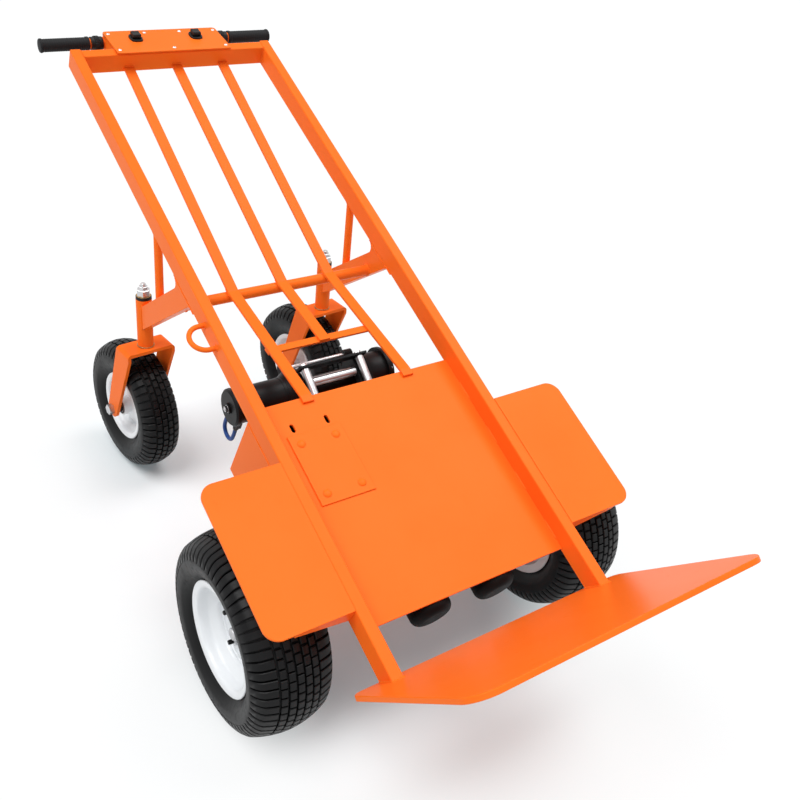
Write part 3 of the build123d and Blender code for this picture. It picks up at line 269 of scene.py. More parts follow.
class Finish:
    """A material, or the world, under construction, with its shader ready."""

    def __init__(self, owner, shader="ShaderNodeBsdfPrincipled"):
        self.material = bpy.data.materials.new(owner) if isinstance(owner, str) else owner
        self.material.use_nodes = True
        self.tree = self.material.node_tree
        self.tree.nodes.clear()
        self.plain = self.node(shader)
        kind = "ShaderNodeOutputWorld" if shader == "ShaderNodeBackground" else "ShaderNodeOutputMaterial"
        self.output = self.tree.nodes.new(kind)
        self.cover(self.plain)

    def cover(self, shader):
        self.feed(self.output.inputs["Surface"], shader)

    def seen(self):
        """One for rays that the camera, a gloss or a clear part sends out, and nought for the light itself."""
        kinds = ("Camera", "Glossy", "Transmission")
        camera, gloss, clear = (self.node("ShaderNodeLightPath", output=f"Is {kind} Ray") for kind in kinds)
        return self.node("ShaderNodeMath", {"operation": "ADD", "use_clamp": True}, {0: camera + gloss, 1: clear})

    def feed(self, socket, value):
        if isinstance(value, Wire):
            self.tree.links.new(value.socket, socket)
        elif socket.type == "RGBA" and len(value) == 3:
            socket.default_value = (*value, 1.0)
        else:
            socket.default_value = value

    def node(self, kind, settings=None, values=None, output=0):
        made = self.tree.nodes.new(kind)
        for name, value in (settings or {}).items():
            setattr(made, name, value)
        for name, value in (values or {}).items():
            self.feed(made.inputs[name], value)
        return Wire(self, made.outputs[output])

    def place(self):
        return self.node("ShaderNodeTexCoord", output="Object")

    def noise(self, scale, detail=3.0, rough=0.55):
        return self.node(
            "ShaderNodeTexNoise", {"noise_dimensions": "3D"},
            {"Vector": self.place(), "Scale": scale, "Detail": detail, "Roughness": rough},
        )

    def blend(self, factor, first, second):
        """A mix of two colours, by the sockets that the Mix node keeps for colours."""
        return self.node("ShaderNodeMix", {"data_type": "RGBA"}, {0: factor, 6: first, 7: second}, output=2)

    def parts(self):
        split = self.node("ShaderNodeSeparateXYZ", None, {0: self.place()})
        return [Wire(self, output) for output in split.socket.node.outputs]

    def radius(self):
        """Distance from the object's first axis, for a part that turns about it."""
        _, y, z = self.parts()
        return (y * y + z * z) ** 0.5

    def bump(self, height, strength, distance, rounded=0.0):
        values = {"Height": height, "Strength": strength, "Distance": distance}
        if rounded:
            values["Normal"] = self.node("ShaderNodeBevel", {"samples": 4}, {"Radius": rounded})
        self.set({"Normal": self.node("ShaderNodeBump", None, values)})

    def set(self, values):
        for name, value in values.items():
            self.feed(self.plain.socket.node.inputs[name], value)

    def tones(self, share, first, second, rough, constants):
        """Base colour between two tones, roughness, and the sockets that are the same all over."""
        self.set({"Base Color": self.blend(share, first, second), "Roughness": rough, **constants})


FINISHES = {}


def finish(name):
    """The named finish, made the first time it is asked for."""
    if name not in FINISHES:
        made = Finish(name)
        MAKERS[name](made)
        FINISHES[name] = made.material
    return FINISHES[name]


def powder_coat(coat):
    """Orange powder coat with orange peel, faint clouds and a little grime."""
    paint = bpy.context.scene.cart_paint
    clouds = coat.noise(5.0, 4.0)
    peel = coat.noise(420.0, 2.0, 0.5)
    grime = coat.noise(38.0, 5.0, 0.65).step(0.60, 0.82)
    tone = coat.blend(clouds.step(0.35, 0.75) * 0.35, paint.orange, paint.orange_deep)
    rough = 0.27 + clouds * 0.08 + grime * 0.10
    coat.tones(grime * 0.08, tone, (0.60, 0.08, 0.005), rough, {"Specular IOR Level": 0.05})
    coat.bump(peel, 0.10, 0.0004, rounded=0.0014)


def rim_paint(coat):
    """Gloss white rim paint, dustier round the disc."""
    paint = bpy.context.scene.cart_paint
    dust = coat.noise(30.0, 5.0, 0.6).step(0.5, 0.8)
    inner = 1 - coat.radius().step(0.03, 0.09)
    share = dust * (0.015 + inner * 0.04)
    gloss = {"Coat Weight": 0.25, "Coat Roughness": 0.1}
    coat.tones(share, paint.rim_white, (0.50, 0.48, 0.46), 0.32 + dust * 0.10, gloss)
    coat.bump(coat.noise(300.0, 2.0), 0.05, 0.0003)


def tyre_rubber(rubber):
    """Matt black rubber, a little greyer where it scuffs, with fine mould lines on the sidewall."""
    paint = bpy.context.scene.cart_paint
    scuff = rubber.noise(90.0, 5.0, 0.65).step(0.45, 0.8)
    haze = rubber.noise(9.0, 3.0).step(0.4, 0.75)
    rings = (rubber.radius() * 2600.0).sine()
    share = scuff * 0.30 + haze * 0.20
    rubber.tones(share, paint.rubber, (0.013, 0.013, 0.014), 0.38 + scuff * 0.20, {"Specular IOR Level": 0.18})
    rubber.bump(rubber.noise(700.0, 3.0) + rings * 0.10, 0.16, 0.0005)


def bright_zinc(metal):
    """Zinc plated steel with soft cloudy passivation and fine turning marks."""
    cloud = metal.noise(30.0, 2.0)
    fine = metal.noise(900.0, 2.0)
    share = cloud.step(0.35, 0.7)
    metal.tones(share, (0.65, 0.65, 0.66), (0.50, 0.50, 0.51), 0.27 + cloud * 0.12, {"Metallic": 1.0})
    metal.bump(fine, 0.03, 0.0003, rounded=0.0006)


def satin_black(coat):
    """Satin black paint over a cast or rolled skin."""
    paint = bpy.context.scene.cart_paint
    cloud = coat.noise(14.0, 4.0)
    skin = coat.noise(520.0, 3.0, 0.6)
    rub = coat.noise(75.0, 5.0, 0.7).step(0.62, 0.80)
    rough = 0.34 + cloud * 0.14 + rub * 0.12
    share = cloud * 0.4 + rub * 0.3
    coat.tones(share, paint.satin_black, (0.011, 0.011, 0.012), rough, {"Specular IOR Level": 0.16})
    coat.bump(skin, 0.16, 0.0004, rounded=0.001)


def cast_grey(coat):
    """Near black paint on a coarse casting."""
    skin = coat.noise(260.0, 4.0, 0.65)
    dirt = coat.noise(24.0, 5.0, 0.6).step(0.45, 0.8)
    rough = 0.55 + dirt * 0.2
    coat.tones(dirt * 0.6, (0.004, 0.004, 0.0045), (0.011, 0.010, 0.009), rough, {"Specular IOR Level": 0.08})
    coat.bump(skin, 0.3, 0.0006, rounded=0.002)


def moulded_black(plastic):
    """Black moulded plastic with a fine spark texture."""
    spark = plastic.noise(1300.0, 2.0, 0.5)
    haze = plastic.noise(40.0, 3.0)
    rough = 0.42 + haze * 0.14
    plastic.tones(haze * 0.6, (0.007, 0.007, 0.007), (0.016, 0.016, 0.017), rough, {"Specular IOR Level": 0.22})
    plastic.bump(spark, 0.14, 0.0003, rounded=0.0008)


def grip_rubber(rubber):
    """Soft black grip rubber with a pebbled skin."""
    pebble = rubber.node("ShaderNodeTexVoronoi", {"feature": "F1"}, {"Vector": rubber.place(), "Scale": 620.0})
    haze = rubber.noise(55.0, 4.0)
    rough = 0.55 + haze * 0.16
    rubber.tones(haze * 0.5, (0.007, 0.007, 0.008), (0.018, 0.018, 0.019), rough, {"Specular IOR Level": 0.20})
    rubber.bump(pebble, 0.22, 0.0004)


def lead_jacket(jacket):
    """Blue cable jacket with a slight sheen."""
    paint = bpy.context.scene.cart_paint
    haze = jacket.noise(120.0, 4.0)
    rough = 0.34 + haze * 0.16
    jacket.tones(haze * 0.6, paint.lead_blue, (0.008, 0.07, 0.30), rough, {"Specular IOR Level": 0.28})
    jacket.bump(jacket.noise(1100.0, 2.0), 0.10, 0.0003)


def oiled_bronze(metal):
    """Sintered bronze bush, darkened by oil."""
    stain = metal.noise(160.0, 4.0)
    share = stain.step(0.35, 0.7)
    metal.tones(share, (0.58, 0.37, 0.15), (0.36, 0.23, 0.11), 0.34 + stain * 0.2, {"Metallic": 1.0})
    metal.bump(metal.noise(1200.0, 2.0), 0.1, 0.0002)


def bare_aluminium(metal):
    """Extruded aluminium with a faint grain."""
    grain = metal.noise(240.0, 3.0)
    share = grain.step(0.3, 0.75)
    metal.tones(share, (0.62, 0.62, 0.63), (0.50, 0.50, 0.52), 0.34 + grain * 0.14, {"Metallic": 1.0})
    metal.bump(grain, 0.08, 0.0003)


def battery_case(plastic):
    """Grey battery case with a matt moulded skin."""
    haze = plastic.noise(18.0, 4.0)
    plastic.tones(haze, (0.035, 0.036, 0.040), (0.055, 0.056, 0.060), 0.5 + haze * 0.15, {})
    plastic.bump(plastic.noise(800.0, 2.0), 0.12, 0.0003, rounded=0.002)


MAKERS = {
    maker.__name__: maker for maker in (
        powder_coat, rim_paint, tyre_rubber, bright_zinc, satin_black, cast_grey, moulded_black, grip_rubber,
        lead_jacket, oiled_bronze, bare_aluminium, battery_case,
    )
}


class Shape:
    """Vertices and faces gathered for one piece, drawn in the piece's own frame."""

    def __init__(self):
        self.verts = []
        self.faces = []

    def sheet(self, rows, wrap_rows=False, wrap_columns=False):
        """A quad sheet over rows of points."""
        start = len(self.verts)
        width = len(rows[0])
        for row in rows:
            self.verts.extend(Vector(point) for point in row)
        count = len(rows)
        for i in range(count if wrap_rows else count - 1):
            for j in range(width if wrap_columns else width - 1):
                a, b = i, (i + 1) % count
                c, d = j, (j + 1) % width
                corners = ((a, c), (b, c), (b, d), (a, d))
                self.faces.append([start + row * width + column for row, column in corners])
        return self

    def lathe(self, profile, count=48, place=None, wrap=False):
        """A profile of (x, radius) turned about the frame's first axis."""
        place = place or Matrix.Identity(4)
        rows = [[place @ spun(x, r, turn) for x, r in profile] for turn in around(count)]
        return self.sheet(rows, wrap_rows=True, wrap_columns=wrap)

    def hexagon(self, across, low, high, place=None, hole=0.0):
        """A hex head or nut in millimetres, with chamfered corners, along the frame's first axis."""
        wide = across / math.sqrt(3)
        edge, fall = wide * 0.10, wide * 0.06
        profile = [(low, hole), (low, wide), (high - fall, wide), (high, wide - edge), (high, hole)]
        return self.lathe(mm(profile), 6, place)

    def prism(self, outline, low, high, edge):
        """An outline of (y, z) pushed along the frame's first axis, with softened rims."""
        middle_y = sum(p[0] for p in outline) / len(outline)
        middle_z = sum(p[1] for p in outline) / len(outline)

        def ring(x, inset):
            points = []
            for y, z in outline:
                reach = math.hypot(y - middle_y, z - middle_z)
                keep = (reach - inset) / reach
                points.append(Vector((x, middle_y + (y - middle_y) * keep, middle_z + (z - middle_z) * keep)))
            return points

        rows = [ring(low, edge), ring(low + edge, 0), ring(high - edge, 0), ring(high, edge)]
        start = len(self.verts)
        self.sheet(rows, wrap_columns=True)
        count = len(outline)
        self.faces.append(list(range(start, start + count)))
        self.faces.append(list(range(start + 3 * count, start + 4 * count)))
        return self

    def tube(self, path, radii, sides=8, closed=False):
        """A round bar along points, with its own radius at each."""
        rows = []
        count = len(path)
        lift = None
        for i, point in enumerate(path):
            before = path[i - 1] if closed or i else path[0]
            after = path[(i + 1) % count] if closed or i < count - 1 else path[-1]
            run = (after - before).normalized()
            if lift is None:
                lift = run.orthogonal().normalized()
            lift = (lift - run * lift.dot(run)).normalized()
            side = run.cross(lift)
            rows.append([
                point + (lift * math.cos(turn) + side * math.sin(turn)) * radii[i] for turn in around(sides)
            ])
        start = len(self.verts)
        self.sheet(rows, wrap_rows=closed, wrap_columns=True)
        if not closed:
            self.faces.append(list(range(start, start + sides)))
            self.faces.append(list(range(start + (count - 1) * sides, start + count * sides)))
        return self

    def bead(self, path, size, ripple, closed=False):
        """A rippled weld bead along a path."""
        trough, least, most, tip = 0.84, 0.94, 1.06, 0.4
        spots = [path[0]]
        for a, b in zip(path, path[1:] + path[:1] if closed else path[1:]):
            steps = max(1, round(2 * (b - a).length / ripple))
            spots.extend(a.lerp(b, i / steps) for i in range(1, steps + 1))
        if closed:
            spots.pop()
        radii = [size * (1.0 if i % 2 else trough) * random.uniform(least, most) for i in range(len(spots))]
        if not closed:
            radii[0] = radii[-1] = size * tip
        return self.tube(spots, radii, 8, closed)

    def piece(self, name, coat, body, place=None, stands_for=(), angle=32.0):
        """The finished object, riding on its body and standing for CAD nodes where it replaces them."""
        mesh = bpy.data.meshes.new(name)
        mesh.from_pydata(self.verts, [], self.faces)
        joined = bmesh.new()
        joined.from_mesh(mesh)
        bmesh.ops.remove_doubles(joined, verts=joined.verts, dist=1e-6)
        bmesh.ops.recalc_face_normals(joined, faces=joined.faces)
        joined.to_mesh(mesh)
        joined.free()
        mesh.shade_smooth()
        mesh.set_sharp_from_angle(angle=math.radians(angle))
        mesh.materials.append(finish(coat))
        made = added(name, mesh)
        if place:
            made.matrix_world = place
        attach(made, body)
        if stands_for:
            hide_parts(*stands_for)


def rounded(points, radius, steps=3):
    """A polyline of (x, r) points with its inner corners rounded."""
    out = [points[0]]
    for before, here, after in zip(points, points[1:], points[2:]):
        a = Vector((before[0] - here[0], before[1] - here[1]))
        b = Vector((after[0] - here[0], after[1] - here[1]))
        reach = min(radius, a.length * 0.45, b.length * 0.45)
        first = Vector(here) + a.normalized() * reach
        last = Vector(here) + b.normalized() * reach
        for i in range(steps + 1):
            t = i / steps
            spot = first * (1 - t) ** 2 + Vector(here) * 2 * t * (1 - t) + last * t ** 2
            out.append((spot.x, spot.y))
    out.append(points[-1])
    return out


def soft_frame(half_x, half_y, corner, count=48):
    """Points on a rounded rectangle, one for each of evenly spread directions."""
    points = []
    for i in range(count):
        turn = 2 * math.pi * (i + 0.5) / count
        ray = Vector((math.cos(turn), math.sin(turn)))
        reach = min(half_x / abs(ray.x), half_y / abs(ray.y))
        spot = ray * reach
        if abs(spot.x) > half_x - corner and abs(spot.y) > half_y - corner:
            centre = Vector((math.copysign(half_x - corner, ray.x), math.copysign(half_y - corner, ray.y)))
            along = ray.dot(centre)
            spot = ray * (along + math.sqrt(along ** 2 - centre.length_squared + corner ** 2))
        points.append((spot.x, spot.y))
    return points


def arc_through(first, middle, last, steps):
    """Points on the circle through three points, from the first to the last."""
    ax, ay = first
    bx, by = middle
    cx, cy = last
    d = 2 * (ax * (by - cy) + bx * (cy - ay) + cx * (ay - by))
    aa, bb, cc = ax * ax + ay * ay, bx * bx + by * by, cx * cx + cy * cy
    ux = (aa * (by - cy) + bb * (cy - ay) + cc * (ay - by)) / d
    uy = (aa * (cx - bx) + bb * (ax - cx) + cc * (bx - ax)) / d
    radius = math.hypot(ax - ux, ay - uy)
    start = math.atan2(ay - uy, ax - ux)
    sweep = (math.atan2(cy - uy, cx - ux) - start + math.pi) % (2 * math.pi) - math.pi
    return [
        (ux + radius * math.cos(start + sweep * i / steps), uy + radius * math.sin(start + sweep * i / steps))
        for i in range(steps + 1)
    ]


class Contour:
    """The outer line of a tyre from its crown to its bead, read by distance along it."""

    def __init__(self, points):
        self.points = points
        self.far = [0.0]
        for a, b in zip(points, points[1:]):
            self.far.append(self.far[-1] + math.hypot(b[0] - a[0], b[1] - a[1]))

    def spot(self, distance, sunk=0.0):
        """The (x, radius) at a signed distance from the crown, sunk below the surface."""
        side = -1.0 if distance < 0 else 1.0
        distance = min(abs(distance), self.far[-1])
        for i in range(len(self.points) - 1):
            if distance <= self.far[i + 1] or i == len(self.points) - 2:
                a, b = self.points[i], self.points[i + 1]
                t = (distance - self.far[i]) / (self.far[i + 1] - self.far[i])
                run = (b[0] - a[0], b[1] - a[1])
                length = math.hypot(*run)
                x = a[0] + run[0] * t - sunk * (-run[1] / length)
                r = a[1] + run[1] * t - sunk * (run[0] / length)
                return side * x, r


def turf_tyre(shape, sizes, rows, columns, bar_low, bar_high, depth, gap):
    """A turf tyre: a smooth carcass, columns of staggered blocks and bars that wrap the shoulders."""
    radius, width, flange, bead, bead_half, tread, drop, wall = sizes
    shoulder = radius - drop
    belly = (flange + shoulder) / 2
    crown = arc_through((0, radius), (tread / 2, radius - drop / 4), (tread, shoulder), 12)
    side = arc_through((tread, shoulder), (width / 2, belly), (bead_half, flange), 18)
    contour = Contour(crown + side[1:] + [(bead_half, (flange + bead) / 2), (bead_half, bead)])
    end = contour.far[-1]
    steps = 16
    stations = [bar_high * i / steps for i in range(steps + 1)]
    stations += [bar_high + (end - bar_high) * i / steps for i in range(1, steps + 1)]
    stations = [-s for s in reversed(stations[1:])] + stations
    rib_height, rib_width = 0.0006, 0.0022
    rib_at = bar_high + (end - bar_high) * 0.30
    skirt, bevel = bar_high * 0.16, bar_high * 0.12

    def sunk(distance):
        fade = (bar_high - abs(distance)) / skirt
        rib = math.exp(-((abs(distance) - rib_at) / rib_width) ** 2)
        return depth * max(0.0, min(1.0, fade)) + rib_height - rib_height * rib

    carcass = [contour.spot(s, sunk(s)) for s in stations]
    inside = bead_half - wall
    carcass += [(inside, bead), (inside, flange), (-inside, flange), (-inside, bead)]
    shape.lathe(carcass, 2 * rows, wrap=True)
    pitch = 2 * math.pi / rows
    bar_turn, bar_gap = 0.25, gap * 1.15
    soft, worn, rooted = 0.0013, 0.0004, 0.0014

    def block(low, high, middle, span, cuts):
        levels = [[], [], []]
        for i in range(cuts + 1):
            along = low + (high - low) * i / cuts
            inset = max(low + soft, min(high - soft, along))
            taper = max(0.0, min(1.0, (bar_high - abs(along)) / bevel))
            drops = (
                (inset, worn * (1 - taper), soft), (along, soft * taper, 0.0), (along, depth * taper + rooted, 0.0),
            )
            for level, (spot, sink, trim) in zip(levels, drops):
                x, r = contour.spot(spot, sink)
                turns = [middle + sign * (span / 2 - trim / radius) for sign in (-1, 1)]
                level.append([Vector((x, r * math.sin(turn), r * math.cos(turn))) for turn in turns])
        top, edge, base = levels
        shape.sheet(top)
        for near in (0, 1):
            shape.sheet([[row[near] for row in level] for level in (top, edge, base)])
        for end in (0, -1):
            shape.sheet([top[end], edge[end], base[end]])

    for row in range(rows):
        for index, (low, high) in enumerate(columns):
            stagger = 0.5 if index % 2 else 0.0
            block(low, high, (row + stagger) * pitch, pitch - gap / radius, 2)
        for sign in (-1, 1):
            ends = sorted((sign * bar_low, sign * bar_high))
            block(ends[0], ends[1], (row + bar_turn) * pitch, pitch - bar_gap / radius, 7)


class CART_OT_stage(bpy.types.Operator):
    """Floor, studio light and the camera at the photograph's angle"""

    bl_idname = "cart.stage"
    bl_label = "Set the stage"

    def execute(self, context):
        stage = context.scene.cart_stage
        context.scene.view_settings.view_transform = "Standard"
        mesh = bpy.data.meshes.new("floor")
        reach = 14.0
        corners = ((-reach, -reach, 0), (reach, -reach, 0), (reach, reach, 0), (-reach, reach, 0))
        mesh.from_pydata(corners, [], [(0, 1, 2, 3)])
        floor = added("floor", mesh)
        ground = Finish("studio_floor", "ShaderNodeBsdfDiffuse")
        ground.set({"Color": stage.floor})
        cool = (0.70, 0.92, 1.0)
        glow = ground.node("ShaderNodeEmission", None, {"Color": cool, "Strength": stage.glow})
        lit = ground.node("ShaderNodeAddShader", None, {0: ground.plain, 1: glow})
        # Painted light: away from the cart the floor is painted white with emission, over the cart's own cast shadow;
        # only the shadow close to the cart is kept
        white = ground.node("ShaderNodeEmission", None, {"Color": (1, 1, 1), "Strength": 1.0})
        across, along, _ = ground.parts()
        half_width, half_length, middle, near, far = 0.42, 0.76, 0.16, 0.85, 1.4
        away = ((across / half_width) ** 2 + ((along - middle) / half_length) ** 2) ** 0.5
        edge = ground.node("ShaderNodeMixShader", None, {0: away.step(near, far) * stage.fade, 1: lit, 2: white})
        ground.cover(ground.node("ShaderNodeMixShader", None, {0: ground.seen(), 1: ground.plain, 2: edge}))
        mesh.materials.append(ground.material)

        world = bpy.data.worlds.new("studio")
        context.scene.world = world
        surround = Finish(world, "ShaderNodeBackground")
        surround.set({"Color": (1, 1, 1), "Strength": stage.sky})
        white = surround.node("ShaderNodeBackground", None, {"Color": (1, 1, 1), "Strength": 1.0})
        surround.cover(surround.node("ShaderNodeMixShader", None, {0: surround.seen(), 1: surround.plain, 2: white}))

        def lamp(name, toward, spread, strength):
            light = bpy.data.lights.new(name, "SUN")
            light.angle = math.radians(spread)
            light.energy = strength
            added(name, light).rotation_euler = Vector(toward).to_track_quat("Z", "Y").to_euler()

        lamp("key_light", (-0.42, -0.06, 0.905), 40, stage.key)
        lamp("sheen_light", (0.46, -0.03, 0.89), 32, stage.fill)

        lens = bpy.data.cameras.new("camera")
        lens.sensor_width = 36.0
        lens.lens = 43.875
        camera = added("camera", lens)
        right = Vector((0.8233, -0.5585, 0.1011)).normalized()
        up = Vector((0.2336, 0.4958, 0.8364)).normalized()
        eye = Vector((-0.9965, FOOT.y - 0.8899, 1.6041))
        camera.matrix_world = stand(eye, right, up)
        context.scene.camera = camera
        return {"FINISHED"}


class CART_OT_lead(bpy.types.Operator):
    """Blue lead that hangs in a loop between the winch motor's terminals"""

    bl_idname = "cart.lead"
    bl_label = "Hang the winch lead"

    def execute(self, context):
        route = (
            (17, -44), (17, -54), (18.5, -76), (17, -100.1), (5.6, -111.5), (-10.6, -111.5), (-22, -100.1),
            (-23.5, -76), (-22, -54), (-22, -44),
        )
        points = [on_rail(LEAD_X, LEAD_V + v, LEAD_W + w) for v, w in route]
        curve = bpy.data.curves.new("winch_motor_lead", "CURVE")
        curve.dimensions = "3D"
        spline = curve.splines.new("NURBS")
        spline.points.add(len(points) - 1)
        for control, point in zip(spline.points, points):
            control.co = (*point, 1.0)
        spline.order_u = 3
        spline.use_endpoint_u = True
        spline.resolution_u = 8
        curve.bevel_depth = 0.0045
        curve.bevel_resolution = 5
        curve.use_fill_caps = True
        curve.materials.append(finish("lead_jacket"))
        lead = added("winch_motor_lead", curve)
        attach(lead, "chassis")
        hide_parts("winch_lead")
        return {"FINISHED"}


class CART_OT_paintwork(bpy.types.Operator):
    """Finishes on the CAD nodes that show as they are"""

    bl_idname = "cart.paintwork"
    bl_label = "Paint the frame"

    def execute(self, context):
        coats = {
            "satin_black": ("winch_motor", "winch_gearbox", "winch_drum", "fairlead_frame"),
            "cast_grey": ("drive_motors", "gear_cases"),
            "bright_zinc": (
                "fasteners", "left_caster_bolts", "right_caster_bolts", "winch_tie_rods", "axle_bearings", "left_axle",
                "right_axle", "fairlead_roller_left", "fairlead_roller_right", "fairlead_roller_upper",
                "fairlead_roller_lower",
            ),
            "oiled_bronze": ("kingpin_bushes",),
            "moulded_black": (
                "clutch_knob", "switch_bezels", "left_rocker", "right_rocker", "left_twist_ring", "right_twist_ring",
            ),
            "battery_case": ("batteries",),
            "grip_rubber": ("grips",),
            "bare_aluminium": ("motor_controller",),
            "lead_jacket": ("winch_lead",),
            "rim_paint": ("left_rim", "right_rim", "left_caster_rim", "right_caster_rim"),
            "tyre_rubber": ("left_tyre", "right_tyre", "left_caster_tyre", "right_caster_tyre"),
        }
        special = {node: coat for coat, nodes in coats.items() for node in nodes}
        for name, node in frame["nodes"].items():
            node.data.materials.clear()
            node.data.materials.append(finish(special.get(name, "powder_coat")))
        return {"FINISHED"}


class CART_OT_tyres(bpy.types.Operator):
    """Turf tyres on the driven wheels and the casters"""

    bl_idname = "cart.tyres"
    bl_label = "Fit the tyres"

    def execute(self, context):
        tread = context.scene.cart_tread
        # Radius, width, flange, bead, half width at the bead, half width and drop of the tread, and wall
        driven = (0.203, 0.165, 0.119, 0.1017, 0.0644, 0.068, 0.015, 0.009)
        small = (0.168, 0.100, 0.091, 0.0761, 0.0339, 0.040, 0.011, 0.007)
        kinds = (
            ("", driven, tread.rows, 0.0130, 2, 0.102),
            ("caster_", small, tread.caster_rows, 0.0122, 1, 0.064),
        )
        for side, _ in SIDES:
            hub = Matrix.Translation(Vector(JOINTS[f"{side}_wheel_spin"]["pos_m"]))
            for kind, sizes, rows, wide, beside, bar_high in kinds:
                step = wide + tread.gap
                columns = [(step * i - wide / 2, step * i + wide / 2) for i in range(-beside, beside + 1)]
                bar_low = step * (beside + 0.5) + tread.gap / 2
                shape = Shape()
                turf_tyre(shape, sizes, rows, columns, bar_low, bar_high, tread.depth, tread.gap)
                shape.piece(
                    f"{side}_{kind}turf_tyre", "tyre_rubber", f"{side}_{kind}wheel",
                    caster_axle(side) if kind else hub, (f"{side}_{kind}tyre",), angle=30.0,
                )
        return {"FINISHED"}


class CART_OT_rims(bpy.types.Operator):
    """White dished rims with their hubs, studs, wheel nuts, valves and bearing seals"""

    bl_idname = "cart.rims"
    bl_label = "Fit the rims"

    def execute(self, context):
        barrel = [
            (0, 86), (28, 86), (40, 101.6), (64.5, 101.6), (64.5, 116.2), (65.4, 117), (67.3, 116.8), (68.4, 114.8),
            (67.3, 108), (66.2, 103.5), (63.5, 100.3), (58, 98.9), (50, 98.2), (44, 97), (39.5, 93.6), (34, 88.4),
            (29, 84.2), (24, 82.5), (18.5, 82.5), (18.5, 71), (17.3, 67), (17.3, 61), (18.5, 57), (18.5, 12.6),
            (15, 12.6), (15, 82.5), (-29.75, 82.5), (-41.75, 98.1), (-68.5, 98.1), (-68.5, 117), (-64.5, 117),
            (-64.5, 101.6), (-40, 101.6), (-28, 86), (0, 86),
        ]
        shaft = [(-323.7, 0), (-323.7, 12.5), (7, 12.5), (7, 58), (15, 58), (15, 12.5), (39, 12.5), (41, 10.5), (41, 0)]
        small = [
            (0, 66), (12.67, 66), (19, 76), (34, 76), (34, 88.3), (34.8, 89), (36.8, 88.8), (37.9, 86.8), (36.9, 81),
            (35.6, 77), (33, 74.6), (28, 73.6), (22, 72.9), (17.5, 69.5), (13, 64.4), (9.5, 63.2), (3, 63), (19, 27),
            (19, 24), (40, 24), (40, 8.05),
        ]
        small += [(-x, r) for x, r in reversed(small)]
        stud = [(37.4, 0), (37.4, 3.9), (36.6, 4.8), (18.5, 4.8)]
        stud_circle = 0.045
        seam_x, seam_radius, seam_size, seam_ripple = 0.0195, 0.0815, 0.0024, 0.0045
        valve = [(36, 90), (42, 85.4), (48, 80.8), (52, 77.7), (55, 75.4)]
        valve_radii, valve_turn = [0.0052, 0.0046, 0.0036, 0.0042, 0.0040], 2.3
        seal = [(39.6, 14.8), (40.2, 15.2), (40.2, 20.4), (39.6, 21)]
        for side, sign in SIDES:
            wheel = f"{side}_wheel"
            place = stand(Vector(JOINTS[f"{side}_wheel_spin"]["pos_m"]), ACROSS * sign, UP_RAIL)
            shape = Shape().lathe(mm(rounded(barrel, 2.2)), 96, wrap=True)
            seam = [spun(seam_x, seam_radius, turn) for turn in around(72)]
            shape.bead(seam, seam_size, seam_ripple, closed=True)
            shape.piece(f"{side}_dished_rim", "rim_paint", wheel, place, (f"{side}_rim",))
            shape = Shape().lathe(mm(rounded(shaft, 1.0)), 48)
            studs = Shape()
            for turn in around(4):
                spot = Matrix.Rotation(turn, 4, "X") @ Matrix.Translation((0, stud_circle, 0))
                shape.hexagon(19, 18.5, 27.6, spot, hole=4.8)
                studs.lathe(mm(stud), 16, spot)
            shape.piece(f"{side}_hub_and_nuts", "bright_zinc", wheel, place, (f"{side}_axle",))
            studs.piece(f"{side}_wheel_studs", "satin_black", wheel, place, (f"{side}_axle",))
            stem = [Vector((x * MM, 0, r * MM)) for x, r in valve]
            shape = Shape().tube(stem, valve_radii, 12)
            shape.piece(f"{side}_valve", "moulded_black", wheel, place @ Matrix.Rotation(valve_turn, 4, "X"))

            caster_wheel = f"{side}_caster_wheel"
            place = caster_axle(side)
            shape = Shape().lathe(mm(rounded(small, 2.0)), 80, wrap=True)
            shape.piece(f"{side}_caster_dished_rim", "rim_paint", caster_wheel, place, (f"{side}_caster_rim",))
            shape = Shape()
            for end in (-1, 1):
                shape.lathe(mm(seal, end), 40)
            shape.piece(f"{side}_bearing_seals", "moulded_black", caster_wheel, place)
        return {"FINISHED"}


